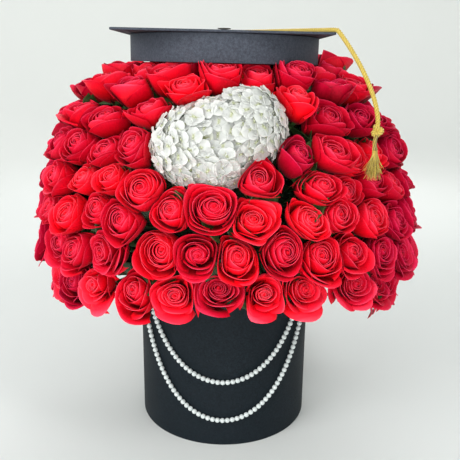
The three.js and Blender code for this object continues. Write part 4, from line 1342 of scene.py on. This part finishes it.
def build_hydrangea():
    rng = np.random.default_rng(SEED + 2)
    triangles = cad_triangles("hydrangea_head")
    middle = (triangles.min((0, 1)) + triangles.max((0, 1))) / 2
    front = triangles[:, :, 1].max(1) < middle[1] + 30 * MM
    triangles = triangles[front]
    heart = triangles.reshape(-1, 3).mean(0) + (0, 12 * MM, 0)
    skin = Skin()
    stalks = Skin()
    for layer, (sink, spacing) in enumerate(FLORET_LAYERS):
        points, normals = spread_points(triangles, spacing, FLORET_TRIES, rng)
        for point, normal in zip(points, normals):
            outward = normal * 0.6 + (point - heart) / np.linalg.norm(point - heart) * 0.8
            outward = outward + rng.normal(0, 0.09, 3)
            outward /= np.linalg.norm(outward)
            centre = point - normal * (sink + rng.uniform(-1.8, 1.8) * MM)
            add_floret(rng, skin, centre, outward, FLORET_RADIUS * rng.uniform(0.82, 1.05), 1 - 0.75 * layer)
            if layer == 0:
                root = heart + (centre - heart) * 0.25
                path = np.linspace(root, centre - outward * 1.2 * MM, 4)
                path[1:3] -= outward * 2 * MM
                stalks.add(*tube(path, 0.55 * MM, 5))
    mound = heart + (cad_points("hydrangea_head") - heart) * MOUND_SHARE
    sides = [tuple(side.vertices) for side in frame["nodes"]["hydrangea_head"].data.polygons]
    skin.add(mound, sides, petal_height=0.35)
    skin.piece("hydrangea_florets", "flower_box", [white_petal], "white_petal", RIM_ANGLE, "hydrangea_head")
    top = heart + (heart - CROWN_CENTRE) * 0.03
    stalks.add(*tube(np.linspace(top, in_foam(heart, 6 * MM), 6), 3.2 * MM, 12))
    stalks.piece("hydrangea_stalks", "flower_box", [green_leaf])


# ---- stage, light and camera -----------------------------------------------------------
def build_stage():
    """A pale floor that curves up, far out, into a backdrop all the way round, painted paler than the floor
    near the box.
    """
    flat = [(reach, 0.0) for reach in (0.05, 0.6, 1.2, 2.2)]
    bend = [(2.2 + 1.4 * math.sin(a), 1.4 * (1 - math.cos(a))) for a in np.linspace(0.1, TAU / 4, 12)]
    profile = np.array([*flat, *bend, (3.6, 4.5)])
    points, faces = disc_turned(profile, 96)
    skin = Skin()
    skin.add(points, [faces[0], faces[1][::-1]])
    floor = skin.piece("floor", None, [stage_material("floor", (0.68, 0.71, 0.70), (0.84, 0.86, 0.84))])


def add_light(name, place, target, size, power):
    data = bpy.data.lights.new(name, "AREA")
    data.shape = "RECTANGLE"
    data.size, data.size_y = size
    data.energy = power
    light = bpy.data.objects.new(name, data)
    light.location = place
    light.rotation_euler = (Vector(target) - Vector(place)).to_track_quat("-Z", "Y").to_euler()
    bpy.context.scene.collection.objects.link(light)


def build_lights():
    world = bpy.data.worlds.new("studio")
    bpy.context.scene.world = world
    world.use_nodes = True
    background = world.node_tree.nodes["Background"]
    background.inputs["Color"].default_value = (1.0, 1.0, 1.0, 1.0)
    background.inputs["Strength"].default_value = 0.60
    middle = (0, 0, 0.28)
    add_light("key", (-1.3, -1.2, 1.0), middle, (1.0, 1.0), 25)
    add_light("fill", (0.1, -1.8, 0.45), middle, (1.2, 0.7), 16)
    add_light("top", (0.75, -1.0, 1.5), middle, (0.4, 0.4), 7)
    add_light("backdrop", (-0.6, 1.2, 2.4), (-0.4, 3.4, 0.9), (2.0, 1.0), 17)
    add_light("back", (0.3, 1.6, 1.4), middle, (1.4, 0.8), 12)


CAMERA_PLACE = (0.0063, -0.765, 0.4529)
CAMERA_PITCH = math.radians(15.27)
CAMERA_ROLL = math.radians(0.73)
SENSOR = 36.0
FOCAL_SHARE = 612 / 460  # focal length over the width of the frame


def build_camera():
    data = bpy.data.cameras.new("camera")
    data.sensor_width = SENSOR
    data.lens = SENSOR * FOCAL_SHARE
    data.clip_start = 0.01
    camera = bpy.data.objects.new("camera", data)
    level = Matrix.Rotation(TAU / 4 - CAMERA_PITCH, 4, "X")
    camera.matrix_world = Matrix.Translation(CAMERA_PLACE) @ level @ Matrix.Rotation(CAMERA_ROLL, 4, "Z")
    bpy.context.scene.collection.objects.link(camera)
    bpy.context.scene.camera = camera


# ---- the whole object ------------------------------------------------------------------
build_wall()
build_eyelets()
smooth_disc("box_base_paper", "box_base", black_paper, "black_paper", 0.5 * MM)
smooth_disc("foam_block", "foam_core", floral_foam, "floral_foam", 3 * MM)
build_liner()
build_crown()
build_strand("upper")
build_strand("lower")
build_band()
smooth_disc("lid_top_paper", "lid_top_disc", charcoal_board, "charcoal_board", 0.4 * MM)
build_mortarboard()
build_button()
build_cord()
build_knot()
build_fringe()
build_leaves(build_roses())
build_hydrangea()
build_stage()
build_lights()
build_camera()
bpy.context.scene.view_settings.view_transform = "Standard"
